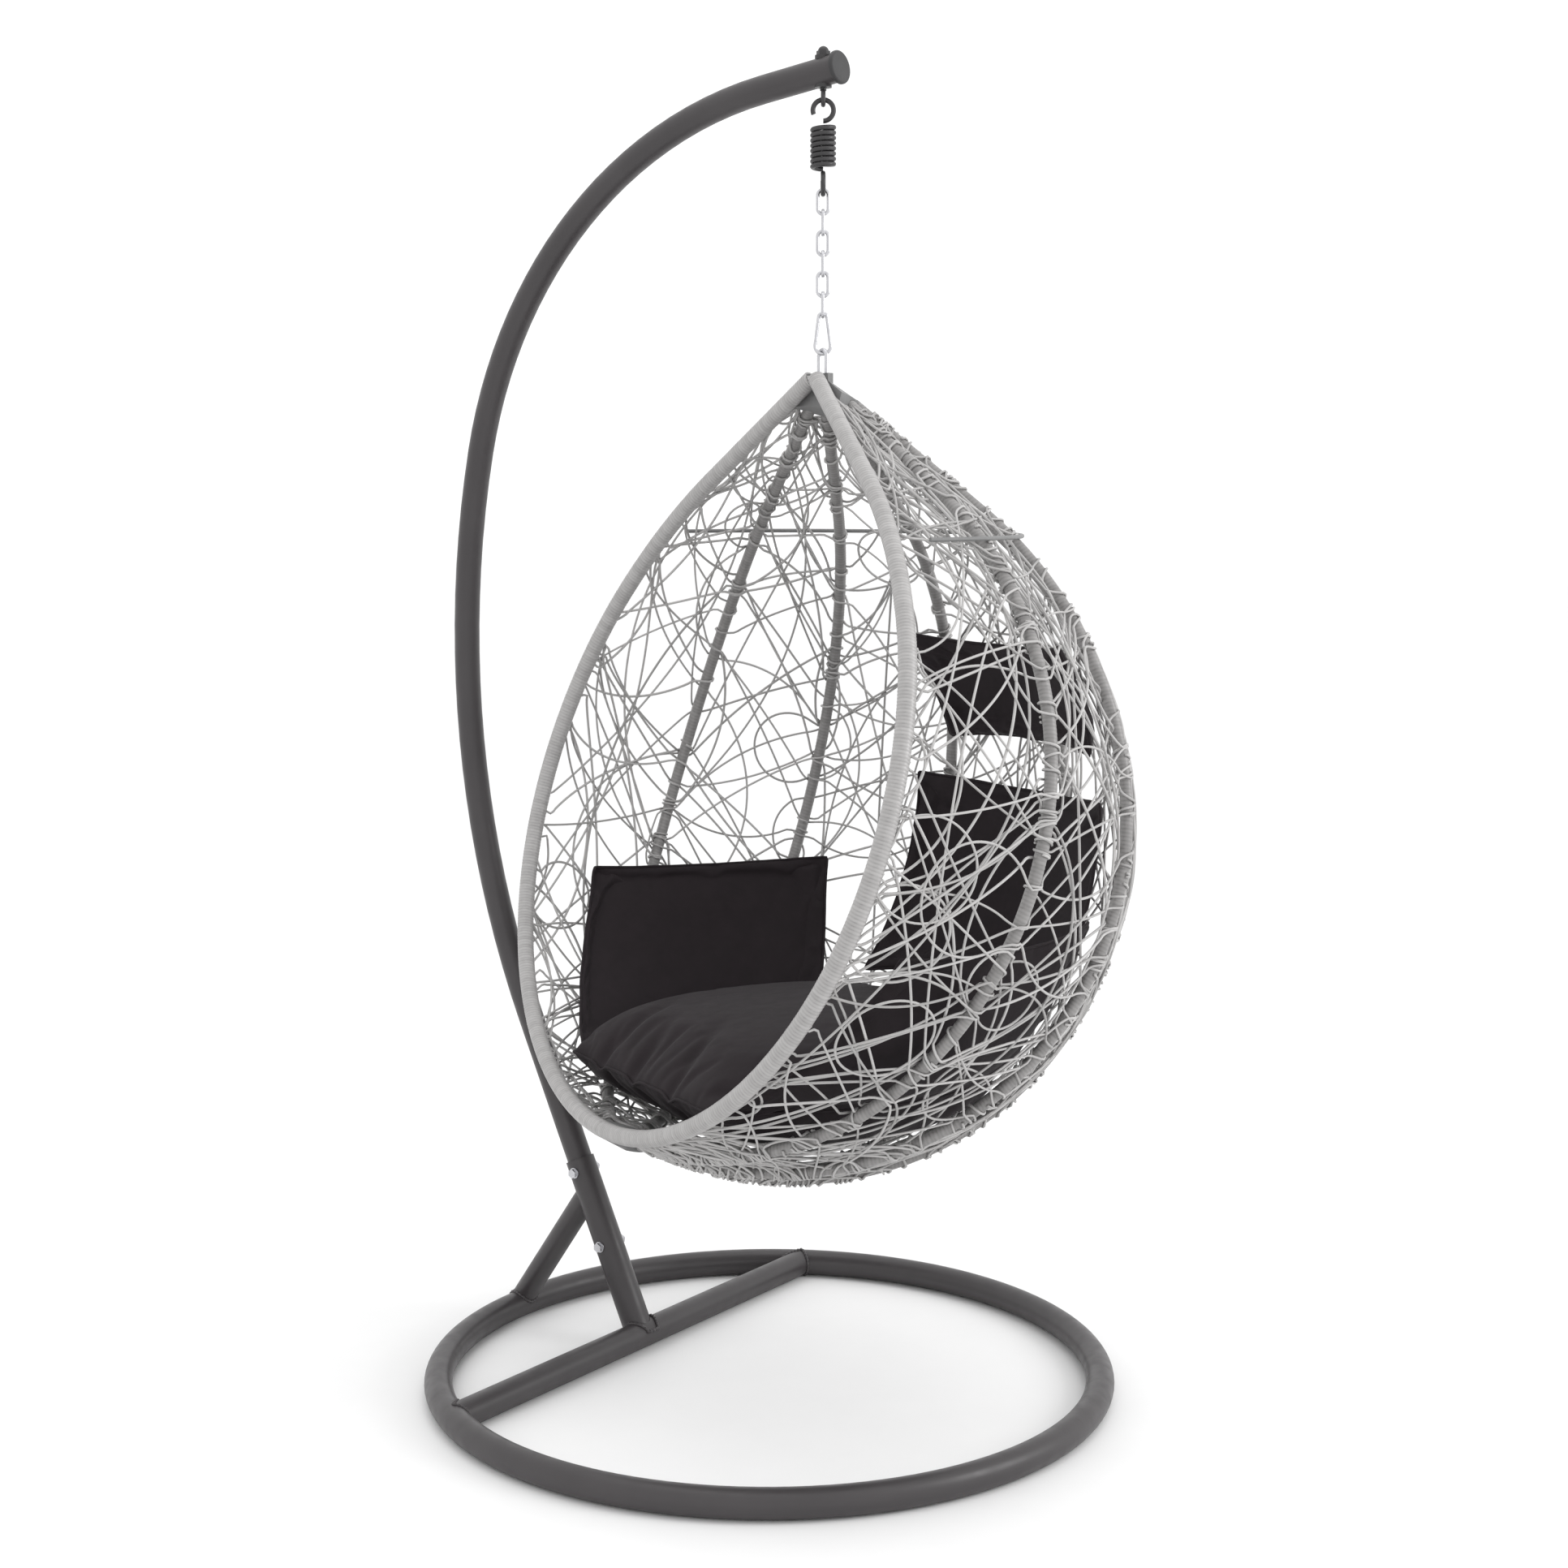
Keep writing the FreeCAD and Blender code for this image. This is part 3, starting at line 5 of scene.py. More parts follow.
import bpy
import numpy as np
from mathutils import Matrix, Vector


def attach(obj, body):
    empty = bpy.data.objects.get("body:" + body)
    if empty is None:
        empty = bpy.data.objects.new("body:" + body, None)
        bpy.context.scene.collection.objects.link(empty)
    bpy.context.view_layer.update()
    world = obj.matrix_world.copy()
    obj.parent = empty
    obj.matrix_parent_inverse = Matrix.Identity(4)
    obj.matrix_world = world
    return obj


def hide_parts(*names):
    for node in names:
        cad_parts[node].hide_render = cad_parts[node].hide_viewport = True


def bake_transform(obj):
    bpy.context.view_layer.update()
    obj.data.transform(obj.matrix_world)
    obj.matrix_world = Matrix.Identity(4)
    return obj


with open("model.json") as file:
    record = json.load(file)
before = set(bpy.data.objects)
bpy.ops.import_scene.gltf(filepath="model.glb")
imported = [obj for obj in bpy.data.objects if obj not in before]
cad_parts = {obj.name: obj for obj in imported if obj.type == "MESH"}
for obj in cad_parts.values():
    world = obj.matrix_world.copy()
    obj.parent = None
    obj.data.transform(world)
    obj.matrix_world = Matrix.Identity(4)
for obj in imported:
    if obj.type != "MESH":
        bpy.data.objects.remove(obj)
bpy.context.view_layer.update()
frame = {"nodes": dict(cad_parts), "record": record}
nodes = frame["nodes"]
scene = bpy.context.scene
rng = random.Random(11)

# small helpers


def unit(v):
    return v / np.linalg.norm(v)


def evenly(points, spacing):
    # points re-spaced along their polyline
    points = np.asarray(points, float)
    steps = np.linalg.norm(np.diff(points, axis=0), axis=1)
    along = np.concatenate([[0.0], np.cumsum(steps)])
    count = max(2, int(round(along[-1] / spacing)) + 1)
    target = np.linspace(0.0, along[-1], count)
    return np.stack([np.interp(target, along, points[:, k]) for k in range(3)], axis=1)


def splined(points, parts):
    # Catmull-Rom curve through the points
    points = np.asarray(points, float)
    padded = np.vstack([2 * points[0] - points[1], points, 2 * points[-1] - points[-2]])
    p0, p1, p2, p3 = padded[:-3], padded[1:-2], padded[2:-1], padded[3:]
    rows = []
    for t in np.arange(parts) / parts:
        rows.append(0.5 * (2 * p1 + (p2 - p0) * t + (2 * p0 - 5 * p1 + 4 * p2 - p3) * t ** 2
                           + (3 * p1 - p0 - 3 * p2 + p3) * t ** 3))
    curve = np.stack(rows, axis=1).reshape(-1, 3)
    return np.vstack([curve, points[-1]])


def sweepFrames(points, first=None):
    # two directions square to the line at every point, carried along without twist
    tangents = np.gradient(points, axis=0)
    tangents /= np.linalg.norm(tangents, axis=1)[:, None]
    side = np.cross(tangents[0], (0.0, 0.0, 1.0)) if first is None else np.asarray(first, float)
    if np.linalg.norm(side) < 0.1:
        side = np.cross(tangents[0], (1.0, 0.0, 0.0))
    sides = np.zeros_like(points)
    for i, t in enumerate(tangents):
        side = side - t * side.dot(t)
        side = side / np.linalg.norm(side)
        sides[i] = side
    return sides, np.cross(tangents, sides)


def sweptRings(points, radii, sides, first=None):
    # Vertices and faces of a closed tube. radii is one number, one per point or one per vertex.
    a, b = sweepFrames(points, first)
    angle = np.arange(sides) * 2 * math.pi / sides
    radii = np.asarray(radii, float)
    if radii.ndim == 0:
        radii = np.full((len(points), sides), float(radii))
    elif radii.ndim == 1:
        radii = np.repeat(radii[:, None], sides, axis=1)
    ring = a[:, None, :] * np.cos(angle)[None, :, None] + b[:, None, :] * np.sin(angle)[None, :, None]
    verts = (points[:, None, :] + ring * radii[:, :, None]).reshape(-1, 3)
    i = np.arange(len(points) - 1)[:, None] * sides
    j = np.arange(sides)[None, :]
    k = (j + 1) % sides
    quads = np.stack([i + j, i + k, i + sides + k, i + sides + j], axis=-1).reshape(-1, 4)
    faces = quads.tolist()
    faces.append(list(range(sides))[::-1])
    faces.append([(len(points) - 1) * sides + n for n in range(sides)])
    return verts, faces


def newPiece(name, verts, faces, material, body, tones=None):
    mesh = bpy.data.meshes.new(name)
    mesh.from_pydata(np.asarray(verts).tolist(), [], faces)
    mesh.validate()
    if tones is not None:
        layer = mesh.attributes.new("tone", "FLOAT", "POINT")
        layer.data.foreach_set("value", np.asarray(tones, np.float32))
    mesh.shade_smooth()
    piece = bpy.data.objects.new(name, mesh)
    scene.collection.objects.link(piece)
    mesh.materials.append(material)
    if body:
        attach(piece, body)
    return piece


def joinParts(parts):
    # several (verts, faces) lists as one
    verts, faces, start = [], [], 0
    for partVerts, partFaces in parts:
        verts.append(np.asarray(partVerts))
        faces += [[n + start for n in f] for f in partFaces]
        start += len(partVerts)
    return np.vstack(verts), faces


# materials


def newMaterial(name, colour, roughness, metallic=0.0):
    material = bpy.data.materials.new(name)
    material.use_nodes = True
    shader = material.node_tree.nodes["Principled BSDF"]
    shader.inputs["Base Color"].default_value = (*colour, 1.0)
    shader.inputs["Roughness"].default_value = roughness
    shader.inputs["Metallic"].default_value = metallic
    return material, material.node_tree, shader


def addNode(tree, kind, **sockets):
    node = tree.nodes.new(kind)
    for key, value in sockets.items():
        if hasattr(value, "links"):
            tree.links.new(value, node.inputs[key.replace("_", " ")])
        else:
            node.inputs[key.replace("_", " ")].default_value = value
    return node


def objectNoise(tree, scale, detail=3.0):
    where = tree.nodes.new("ShaderNodeTexCoord")
    noise = addNode(tree, "ShaderNodeTexNoise", Scale=scale, Detail=detail)
    tree.links.new(where.outputs["Object"], noise.inputs["Vector"])
    return noise.outputs["Fac"]


def spread(tree, value, low, high):
    # value, mostly 0.3 to 0.7, stretched to low..high.
    node = addNode(tree, "ShaderNodeMapRange", Value=value)
    for key, number in (("From Min", 0.3), ("From Max", 0.7), ("To Min", low), ("To Max", high)):
        node.inputs[key].default_value = number
    return node.outputs["Result"]


def blendColours(tree, factor, low, high):
    node = tree.nodes.new("ShaderNodeMix")
    node.data_type = "RGBA"
    tree.links.new(factor, node.inputs[0])
    node.inputs[6].default_value = (*low, 1.0)
    node.inputs[7].default_value = (*high, 1.0)
    return node.outputs[2]


def addBump(tree, shader, height, strength, distance):
    bump = addNode(tree, "ShaderNodeBump", Strength=strength, Distance=distance, Height=height)
    tree.links.new(bump.outputs["Normal"], shader.inputs["Normal"])


def variedMaterial(name, low, high, roughness, metallic=0.0, scale=9.0, grain=700.0, bump=0.1, depth=0.0004):
    # colour and roughness drift over the piece, with a fine grain on top
    material, tree, shader = newMaterial(name, low, sum(roughness) / 2, metallic)
    drift = objectNoise(tree, scale)
    tree.links.new(blendColours(tree, drift, low, high), shader.inputs["Base Color"])
    tree.links.new(spread(tree, objectNoise(tree, scale * 5), *roughness), shader.inputs["Roughness"])
    addBump(tree, shader, objectNoise(tree, grain, 2.0), bump, depth)
    return material


framePaint = variedMaterial("framePaint", (0.034, 0.030, 0.032), (0.050, 0.045, 0.047), (0.34, 0.46))
zincSteel = variedMaterial("zincSteel", (0.46, 0.46, 0.48), (0.66, 0.66, 0.68), (0.24, 0.42), 1.0, 60.0)
blackSteel = variedMaterial("blackSteel", (0.030, 0.029, 0.030), (0.055, 0.053, 0.055), (0.3, 0.5), 0.3, 40.0)
capPlastic = variedMaterial("capPlastic", (0.022, 0.022, 0.023), (0.034, 0.033, 0.035), (0.45, 0.6))
basketSteel = variedMaterial("basketSteel", (0.14, 0.14, 0.14), (0.2, 0.2, 0.2), (0.4, 0.55))


def strandMaterial(name, low, high, roughness):
    # extruded resin strand: each strand has its own tone, kept in the mesh; on the wound tubes that tone also
    # holds painted shade in the grooves between turns and lighter ridge tops
    material, tree, shader = newMaterial(name, low, roughness)
    # the tone attribute: a random tone for each strand; on the wound tubes it also carries painted groove
    # shade
    tone = tree.nodes.new("ShaderNodeAttribute")
    tone.attribute_name = "tone"
    grain = objectNoise(tree, 120.0)
    total = addNode(tree, "ShaderNodeMath")
    total.operation = "MULTIPLY_ADD"
    tree.links.new(grain, total.inputs[0])
    total.inputs[1].default_value = 0.35
    tree.links.new(tone.outputs["Fac"], total.inputs[2])
    tree.links.new(blendColours(tree, total.outputs[0], low, high), shader.inputs["Base Color"])
    gloss = spread(tree, objectNoise(tree, 40.0), roughness - 0.07, roughness + 0.08)
    tree.links.new(gloss, shader.inputs["Roughness"])
    addBump(tree, shader, objectNoise(tree, 900.0, 2.0), 0.12, 0.0003)
    return material


strandResin = strandMaterial("strandResin", (0.26, 0.254, 0.250), (0.49, 0.481, 0.476), 0.38)
wrapResin = strandMaterial("wrapResin", (0.20, 0.194, 0.192), (0.43, 0.421, 0.417), 0.34)
ribResin = strandMaterial("ribResin", (0.115, 0.111, 0.110), (0.29, 0.282, 0.278), 0.40)

slotMaterials = {"frame_paint": framePaint, "cap_plastic": capPlastic, "zinc_steel": zincSteel,
                 "black_steel": blackSteel, "basket_steel": basketSteel, "wrap_resin": wrapResin,
                 "weave_resin": strandResin}
slotOf = {part["node"]: part["material_slot"] for part in frame["record"]["subparts"]}
for node, piece in nodes.items():
    piece.data.materials.clear()
    piece.data.materials.append(slotMaterials.get(slotOf[node], framePaint))
print("materials done")

# basket geometry

hangBack = -0.095
apex = np.array([0.0, hangBack, 1.505])
basketTurn = math.radians(156.5)
basketTilt = math.radians(18.14)
basketLong = 1.108
up = np.array([0.0, 0.0, 1.0])
forward = np.array([math.cos(basketTurn), math.sin(basketTurn), 0.0])
sideways = np.cross(up, forward)
longLine = forward * math.sin(basketTilt) - up * math.cos(basketTilt)
backward = -forward * math.cos(basketTilt) - up * math.sin(basketTilt)


def fanOut(angle):
    turn = np.radians(angle)
    return np.multiply.outer(np.cos(turn), backward) + np.multiply.outer(np.sin(turn), sideways)


def arcPoints(centre, radius, low, high, step=0.005):
    angles = np.linspace(low, high, max(3, int(radius * (high - low) / step)))[1:]
    return np.stack([centre[0] + radius * np.cos(angles), centre[1] + radius * np.sin(angles)], axis=1)


def bentLine(start, leg, bends, end):
    # flat line: straight up the second axis, then tangent arcs to the left, then one that closes on end
    line = [np.array([[0.0, start], [0.0, leg]])]
    point, heading = np.array([0.0, leg]), 0.0
    for radius, turn in bends:
        centre = point - np.array([math.cos(heading), math.sin(heading)]) * radius
        line.append(arcPoints(centre, radius, heading, heading + math.radians(turn)))
        heading += math.radians(turn)
        point = line[-1][-1]
    across = np.array([-math.cos(heading), -math.sin(heading)])
    ahead = np.array([-math.sin(heading), math.cos(heading)])
    gap = end - point
    radius = gap.dot(gap) / (2 * gap.dot(across))
    turn = 2 * math.atan2(gap.dot(across), gap.dot(ahead))
    line.append(arcPoints(point + across * radius, radius, heading, heading + turn))
    return np.vstack(line)


def fanLine(flat, angle, lean, shift=0.0):
    # a flat line put into a plane of the fan
    out = fanOut(angle)
    travel = longLine * math.cos(lean) + out * math.sin(lean)
    outside = out * math.cos(lean) - longLine * math.sin(lean)
    origin = apex - backward * shift
    return origin + flat[:, :1] * outside + flat[:, 1:] * travel


ribBends = [(67.5, 0.310, 52, 48), (66.5, 0.300, 48, 46), (64.0, 0.300, 36, 48), (60.5, 0.290, 28, 38)]


def ribLine(step):
    lean, leg, turnA, turnB = ribBends[abs(step)]
    lean = math.radians(lean)
    along, out = basketLong + 0.004, 0.052
    end = np.array([out * math.cos(lean) - along * math.sin(lean),
                    along * math.cos(lean) + out * math.sin(lean)])
    return fanLine(bentLine(0.060, leg, [(0.6, turnA), (0.5, turnB)], end), 22.0 * step, lean)


def hoopLine(angle):
    lean = math.radians(54.3)
    near, mid, far = 0.700, 0.525, 0.481
    axis = np.array([-math.sin(lean), math.cos(lean)])
    first = np.array([-near, 0.268])
    third = axis * (basketLong - far)
    gap = third - first
    length = np.linalg.norm(gap)
    share = ((near - mid) ** 2 - (mid - far) ** 2 + length ** 2) / (2 * length)
    rise = math.sqrt((near - mid) ** 2 - share ** 2)
    ahead = gap / length
    second = first + ahead * share + np.array([ahead[1], -ahead[0]]) * rise
    turn1 = math.atan2(*(second - first)[::-1])
    turn2 = math.atan2(*(third - second)[::-1])
    turn3 = math.atan2(axis[1], axis[0])
    flat = np.vstack([[[0.0, 0.009], [0.0, 0.268]], arcPoints(first, near, 0.0, turn1),
                      arcPoints(second, mid, turn1, turn2), arcPoints(third, far, turn2, turn3)])
    return fanLine(flat, angle, lean, 0.014)


tubeLines = [hoopLine(-90.0)] + [ribLine(step) for step in range(-3, 4)] + [hoopLine(90.0)]
wallRows = 241


def fanCoordinates(points):
    offset = points - apex
    back, side = offset @ backward, offset @ sideways
    return np.stack([offset @ longLine, np.hypot(back, side), np.degrees(np.arctan2(side, back))], axis=1)


def sampled(line, count):
    steps = np.linalg.norm(np.diff(line, axis=0), axis=1)
    along = np.concatenate([[0.0], np.cumsum(steps)])
    target = np.linspace(0.0, along[-1], count)
    return np.stack([np.interp(target, along, line[:, k]) for k in range(3)], axis=1), along[-1]


tubeRows, tubeLengths = [], []
for line in tubeLines:
    points, length = sampled(line, wallRows)
    tubeRows.append(points)
    tubeLengths.append(length)
fanRows = np.array([fanCoordinates(points) for points in tubeRows])
columns = 16
wallGrid = np.zeros((8 * columns + 1, wallRows, 3))
for c in range(8 * columns + 1):
    k = min(c // columns, 7)
    share = c / columns - k
    row = fanRows[k] * (1 - share) + fanRows[k + 1] * share
    wallGrid[c] = apex + row[:, :1] * longLine + fanOut(row[:, 2]) * row[:, 1:2]
down = np.gradient(wallGrid, axis=1)
across = np.gradient(wallGrid, axis=0)
wallNormals = np.cross(across, down)
wallNormals /= np.linalg.norm(wallNormals, axis=2)[:, :, None] + 1e-12
middle = apex + longLine * basketLong * 0.5
flip = np.sign(np.sum(wallNormals * (wallGrid - middle), axis=2))
wallNormals *= flip[:, :, None]


def fromGrid(grid, g, v):
    # bilinear look-up at tube number g and length share v
    x = min(max(g * columns, 0.0), 8 * columns - 1e-6)
    y = min(max(v * (wallRows - 1), 0.0), wallRows - 1 - 1e-6)
    i, j = int(x), int(y)
    fx, fy = x - i, y - j
    return (grid[i, j] * (1 - fx) * (1 - fy) + grid[i + 1, j] * fx * (1 - fy)
            + grid[i, j + 1] * (1 - fx) * fy + grid[i + 1, j + 1] * fx * fy)


def wallPlace(g, v, lift):
    return fromGrid(wallGrid, g, v) + unit(fromGrid(wallNormals, g, v)) * lift


# wound tubes of the basket

hoopRadius, ribRadius = 0.0125, 0.0090


hoopWinding = {"radius": hoopRadius, "pitch": 0.0048, "height": 0.0007, "sides": 20, "rings": 5}
ribWinding = {"radius": ribRadius, "pitch": 0.0055, "height": 0.0004, "sides": 14, "rings": 4}


def woundTube(name, line, winding, material):
    # a tube closely wound with flat strand: one low ridge for each turn, some turns tighter
    height, sides, rings = winding["height"], winding["sides"], winding["rings"]
    points = evenly(line, winding["pitch"] / rings)
    turns = np.arange(len(points))[:, None] / rings + np.arange(sides)[None, :] / sides
    phase = turns % 1.0
    tight = np.array([rng.uniform(0.7, 1.0) for _ in range(int(turns.max()) + 2)])[turns.astype(int)]
    ridge = np.sin(math.pi * phase) ** 0.6
    radii = winding["radius"] - height + height * ridge * tight
    verts, faces = sweptRings(points, radii, sides)
    shade = np.array([rng.uniform(-0.12, 0.12) for _ in range(int(turns.max()) + 2)])[turns.astype(int)]
    # tone: painted shade, darker in the groove between turns and lighter on each ridge top, plus a random
    # tone for each turn
    tones = (0.15 + 0.45 * ridge + shade).reshape(-1)
    return newPiece(name, verts, faces, material, "basket", tones=tones)


for side, line in (("right", tubeLines[0]), ("left", tubeLines[8])):
    wrap = woundTube("hoopWrap_" + side, line, hoopWinding, wrapResin)
    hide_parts("hoop_wrap_" + side)
for number in range(1, 8):
    wrap = woundTube("ribWrap_%d" % number, tubeLines[number], ribWinding, ribResin)
    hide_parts("rib_%d" % number)
print("wound tubes done")

# woven walls

strandRadius = 0.0018
strandStep = 0.012
wallLength = 1.64
weaveTop, weaveFoot = 0.02, 0.98
strandLift = ribRadius * 0.8
habits = {"passOver": 0.72, "goOutside": 0.8, "oneTurn": 0.88, "turnBack": 0.3, "longest": 1.1}
panelWidths = [np.linalg.norm(tubeRows[k + 1] - tubeRows[k], axis=1) for k in range(8)]


def widthAt(k, v):
    return float(np.interp(v * (wallRows - 1), np.arange(wallRows), panelWidths[k]))


def tubeFrame(k, v):
    # centre of a tube, the wall's outward normal there, and the way across towards the next tube
    y = min(max(v * (wallRows - 1), 1.0), wallRows - 2.0)
    j = int(y)
    centre = tubeRows[k][j] * (1 - y + j) + tubeRows[k][j + 1] * (y - j)
    tangent = unit(tubeRows[k][j + 1] - tubeRows[k][j - 1])
    normal = fromGrid(wallNormals, k, v)
    normal = unit(normal - tangent * normal.dot(tangent))
    over = np.cross(normal, tangent)
    towards = fromGrid(wallGrid, min(k + 0.2, 8), v) - fromGrid(wallGrid, max(k - 0.2, 0), v)
    if over.dot(towards) < 0:
        over = -over
    return centre, normal, over


def roundTube(k, v, way, outside, turns, drift):
    # points where a strand coming from the -way side goes round rib k, or turns back in a hoop's wrapping
    if k in (0, 8):
        side = 1 if k == 0 else -1
        points = []
        for depth, share in ((0.95, 0.0), (0.7, 0.5), (0.95, 1.0)):
            centre, normal, over = tubeFrame(k, v + drift * 1.6 * share)
            points.append(centre + over * side * hoopRadius * depth + normal * 0.002 * outside)
        return points
    reach = ribRadius + strandRadius * 1.15
    last = 140.0 if turns == 0 else 310.0 + 360.0 * (turns - 1)
    angles = np.arange(50.0, last + 1.0, 30.0)
    points = []
    for n, angle in enumerate(angles):
        centre, normal, over = tubeFrame(k, v + drift * n / len(angles))
        a = math.radians(angle)
        points.append(centre + (over * -way * math.cos(a) + normal * outside * math.sin(a)) * reach)
    return points


def newBend(width):
    # curvature of a strand as it sets out across a panel, and how long it lasts
    kind = rng.random()
    hand = rng.choice((-1, 1))
    if kind < 0.66:
        return hand * rng.uniform(0.2, 1.8), 1.0
    if kind < 0.93:
        return hand * rng.uniform(2.2, 6.5), 1.0
    return hand / rng.uniform(0.050, max(0.06, min(0.080, width * 0.36))), rng.uniform(0.22, 0.42)


def weaveStrand(panel, v, length):
    # one strand: it sets out from a tube, wanders over the wall, and hooks round or passes over tubes
    step = strandStep
    crossed = []
    way = rng.choice((-1, 1))
    tube = panel if way > 0 else panel + 1
    drift = rng.choice((-1, 1))
    g, points, done = float(tube), [], 0.0
    outside = rng.choice((-1, 1))
    points += roundTube(tube, v, -way, -outside, 1, drift * 0.004)
    lift = outside * strandLift
    while done < length:
        level = rng.uniform(-0.0028, 0.0028)
        steep = rng.triangular(8, 80, 42) if 0.12 < v < 0.86 else rng.triangular(4, 45, 16)
        heading = drift * math.radians(steep if v > 0.12 else 90 - steep)
        bend, lasts = newBend(widthAt(panel, v))
        edge = (hoopRadius if tube in (0, 8) else ribRadius) + 0.003
        g = tube + way * edge / widthAt(panel, v)
        crossing = 0.0
        while True:
            width = widthAt(panel, v)
            g += way * math.cos(heading) * step / width
            v += math.sin(heading) * step / wallLength
            if v < weaveTop or v > weaveFoot:
                heading = -heading
                drift = -drift
                v = min(max(v, weaveTop), weaveFoot)
            heading += bend * step
            crossing += step
            if crossing > lasts:
                bend *= 0.6
            if crossing > habits["longest"]:
                bend, heading = 0.0, heading * 0.5
            share = g - panel
            lift += (level - lift) * 0.35
            near = ribRadius * 1.5 / width
            if share < near or share > 1 - near:
                break
            points.append(wallPlace(g, v, lift))
            crossed.append((panel, v))
        done += crossing
        tube = panel if share < 0.5 else panel + 1
        way = -1 if share < 0.5 else 1
        outside = 1 if rng.random() < habits["goOutside"] else -1
        if 1 <= tube <= 7 and rng.random() < habits["passOver"]:
            points += roundTube(tube, v, way, outside, 0, 0.004 * drift)
            panel = tube if way > 0 else tube - 1
            lift = outside * strandLift
        else:
            turns = 1 if rng.random() < habits["oneTurn"] else 2
            points += roundTube(tube, v, way, outside, turns, drift * rng.uniform(0.004, 0.011))
            way = -way
            panel = tube if way > 0 else tube - 1
            lift = -outside * strandLift
        v = min(max(v + drift * 0.004, weaveTop), weaveFoot)
        if rng.random() < habits["turnBack"]:
            drift = -drift
    return points, crossed


cells = 24
cellHeights = (np.arange(cells) + 0.5) / cells
cellAreas = np.array([[widthAt(k, v) * wallLength / cells for v in cellHeights] for k in range(8)])
strandsPerMetre = 84.0
topCrowd = 0.7 * np.exp(-((cellHeights - 0.04) / 0.07) ** 2)
footCrowd = 0.8 * np.exp(-((cellHeights - 0.93) / 0.10) ** 2)
wanted = cellAreas * (1.0 + topCrowd + footCrowd) * strandsPerMetre
covered = np.zeros((8, cells))
strandParts = [[] for _ in range(8)]
while covered.sum() < wanted.sum():
    # the next strand sets out from one of the barest cells
    chance = np.array([rng.random() for _ in range(8 * (cells - 2))]).reshape(8, cells - 2)
    barest = (covered / wanted)[:, 1:-1] + 0.10 * chance
    panel, cell = np.unravel_index(barest.argmin(), barest.shape)
    start = cellHeights[cell + 1] + rng.uniform(-0.02, 0.02)
    points, crossed = weaveStrand(int(panel), start, rng.uniform(0.5, 1.4))
    for k, v in crossed:
        covered[k, min(int(v * cells), cells - 1)] += strandStep
    strandParts[panel].append(points)
for panel in range(8):
    parts, tones = [], []
    for points in strandParts[panel]:
        line = evenly(splined(points, 3), 0.0075)
        part = sweptRings(line, strandRadius * rng.uniform(0.92, 1.08), 6)
        parts.append(part)
        tones += [rng.uniform(0.1, 0.75)] * len(part[0])
    verts, faces = joinParts(parts)
    weave = newPiece("weave_%d" % (panel + 1), verts, faces, strandResin, "basket", tones=tones)
    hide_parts("weave_panel_%d" % (panel + 1))
    print("weave", panel + 1, "strands", len(parts), "faces", len(faces))

# spring

coilTop, coilTurns, coilPitch = 1.8597, 8, 0.00718
coilRadius, coilWire, coilTwist = 0.015, 0.0035, 0.622
turnSteps = 36
coilLow = coilTop - 2 * coilWire - coilTurns * coilPitch
turnAngle = np.arange(coilTurns * turnSteps + 1) * 2 * math.pi / turnSteps
coilLine = np.stack([coilRadius * np.cos(turnAngle + coilTwist),
                     hangBack + coilRadius * np.sin(turnAngle + coilTwist),
                     coilLow + coilWire + coilPitch * turnAngle / (2 * math.pi)], axis=1)
verts, faces = sweptRings(coilLine, coilWire, 14)
coil = newPiece("springCoil", verts, faces, blackSteel, None)
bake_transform(coil)
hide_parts("spring_coil")
print("spring done")

# cushions

cushionFabric, tree, shader = newMaterial("cushionFabric", (0.014, 0.0115, 0.0125), 0.78)
weft = objectNoise(tree, 35.0, 4.0)
cloth = blendColours(tree, weft, (0.0080, 0.0048, 0.0064), (0.0150, 0.0096, 0.0122))
tree.links.new(cloth, shader.inputs["Base Color"])
shader.inputs["Sheen Weight"].default_value = 0.03
shader.inputs["Specular IOR Level"].default_value = 0.3
shader.inputs["Sheen Roughness"].default_value = 0.45
folds = addNode(tree, "ShaderNodeBump", Strength=0.55, Distance=0.006, Height=objectNoise(tree, 16.0, 2.5))
weave = objectNoise(tree, 1400.0, 2.0)
thread = addNode(tree, "ShaderNodeBump", Strength=0.25, Distance=0.0004, Height=weave)
tree.links.new(folds.outputs["Normal"], thread.inputs["Normal"])
tree.links.new(thread.outputs["Normal"], shader.inputs["Normal"])


def wallAtHeight(angle, height):
    # where the wall's centre surface at a fan angle first comes down to a height
    previous = None
    for j in range(wallRows):
        row = fanRows[:, j]
        k = min(max(int(np.searchsorted(row[:, 2], angle)) - 1, 0), 7)
        share = (angle - row[k, 2]) / (row[k + 1, 2] - row[k, 2])
        along, out, turn = row[k] * (1 - share) + row[k + 1] * share
        point = apex + longLine * along + fanOut(turn) * out
        if point[2] <= height and previous is not None:
            share = (previous[2] - height) / (previous[2] - point[2])
            return previous + (point - previous) * share
        previous = point
    return previous


def wallSheet(top, foot, heights, inset, rows, cols):
    # grid of points on the wall, moved in by inset, with its inward normals
    grid = np.zeros((rows, cols, 3))
    for i in range(rows):
        share = i / (rows - 1)
        for j in range(cols):
            low = top[0] + (foot[0] - top[0]) * share
            high = top[1] + (foot[1] - top[1]) * share
            height = heights[0] + (heights[1] - heights[0]) * share
            grid[i, j] = wallAtHeight(low + (high - low) * j / (cols - 1), height)
    normals = np.cross(np.gradient(grid, axis=0), np.gradient(grid, axis=1))
    normals /= np.linalg.norm(normals, axis=2)[:, :, None]
    normals *= np.sign(np.sum(normals * (middle - grid), axis=2))[:, :, None]
    return grid + normals * inset, normals


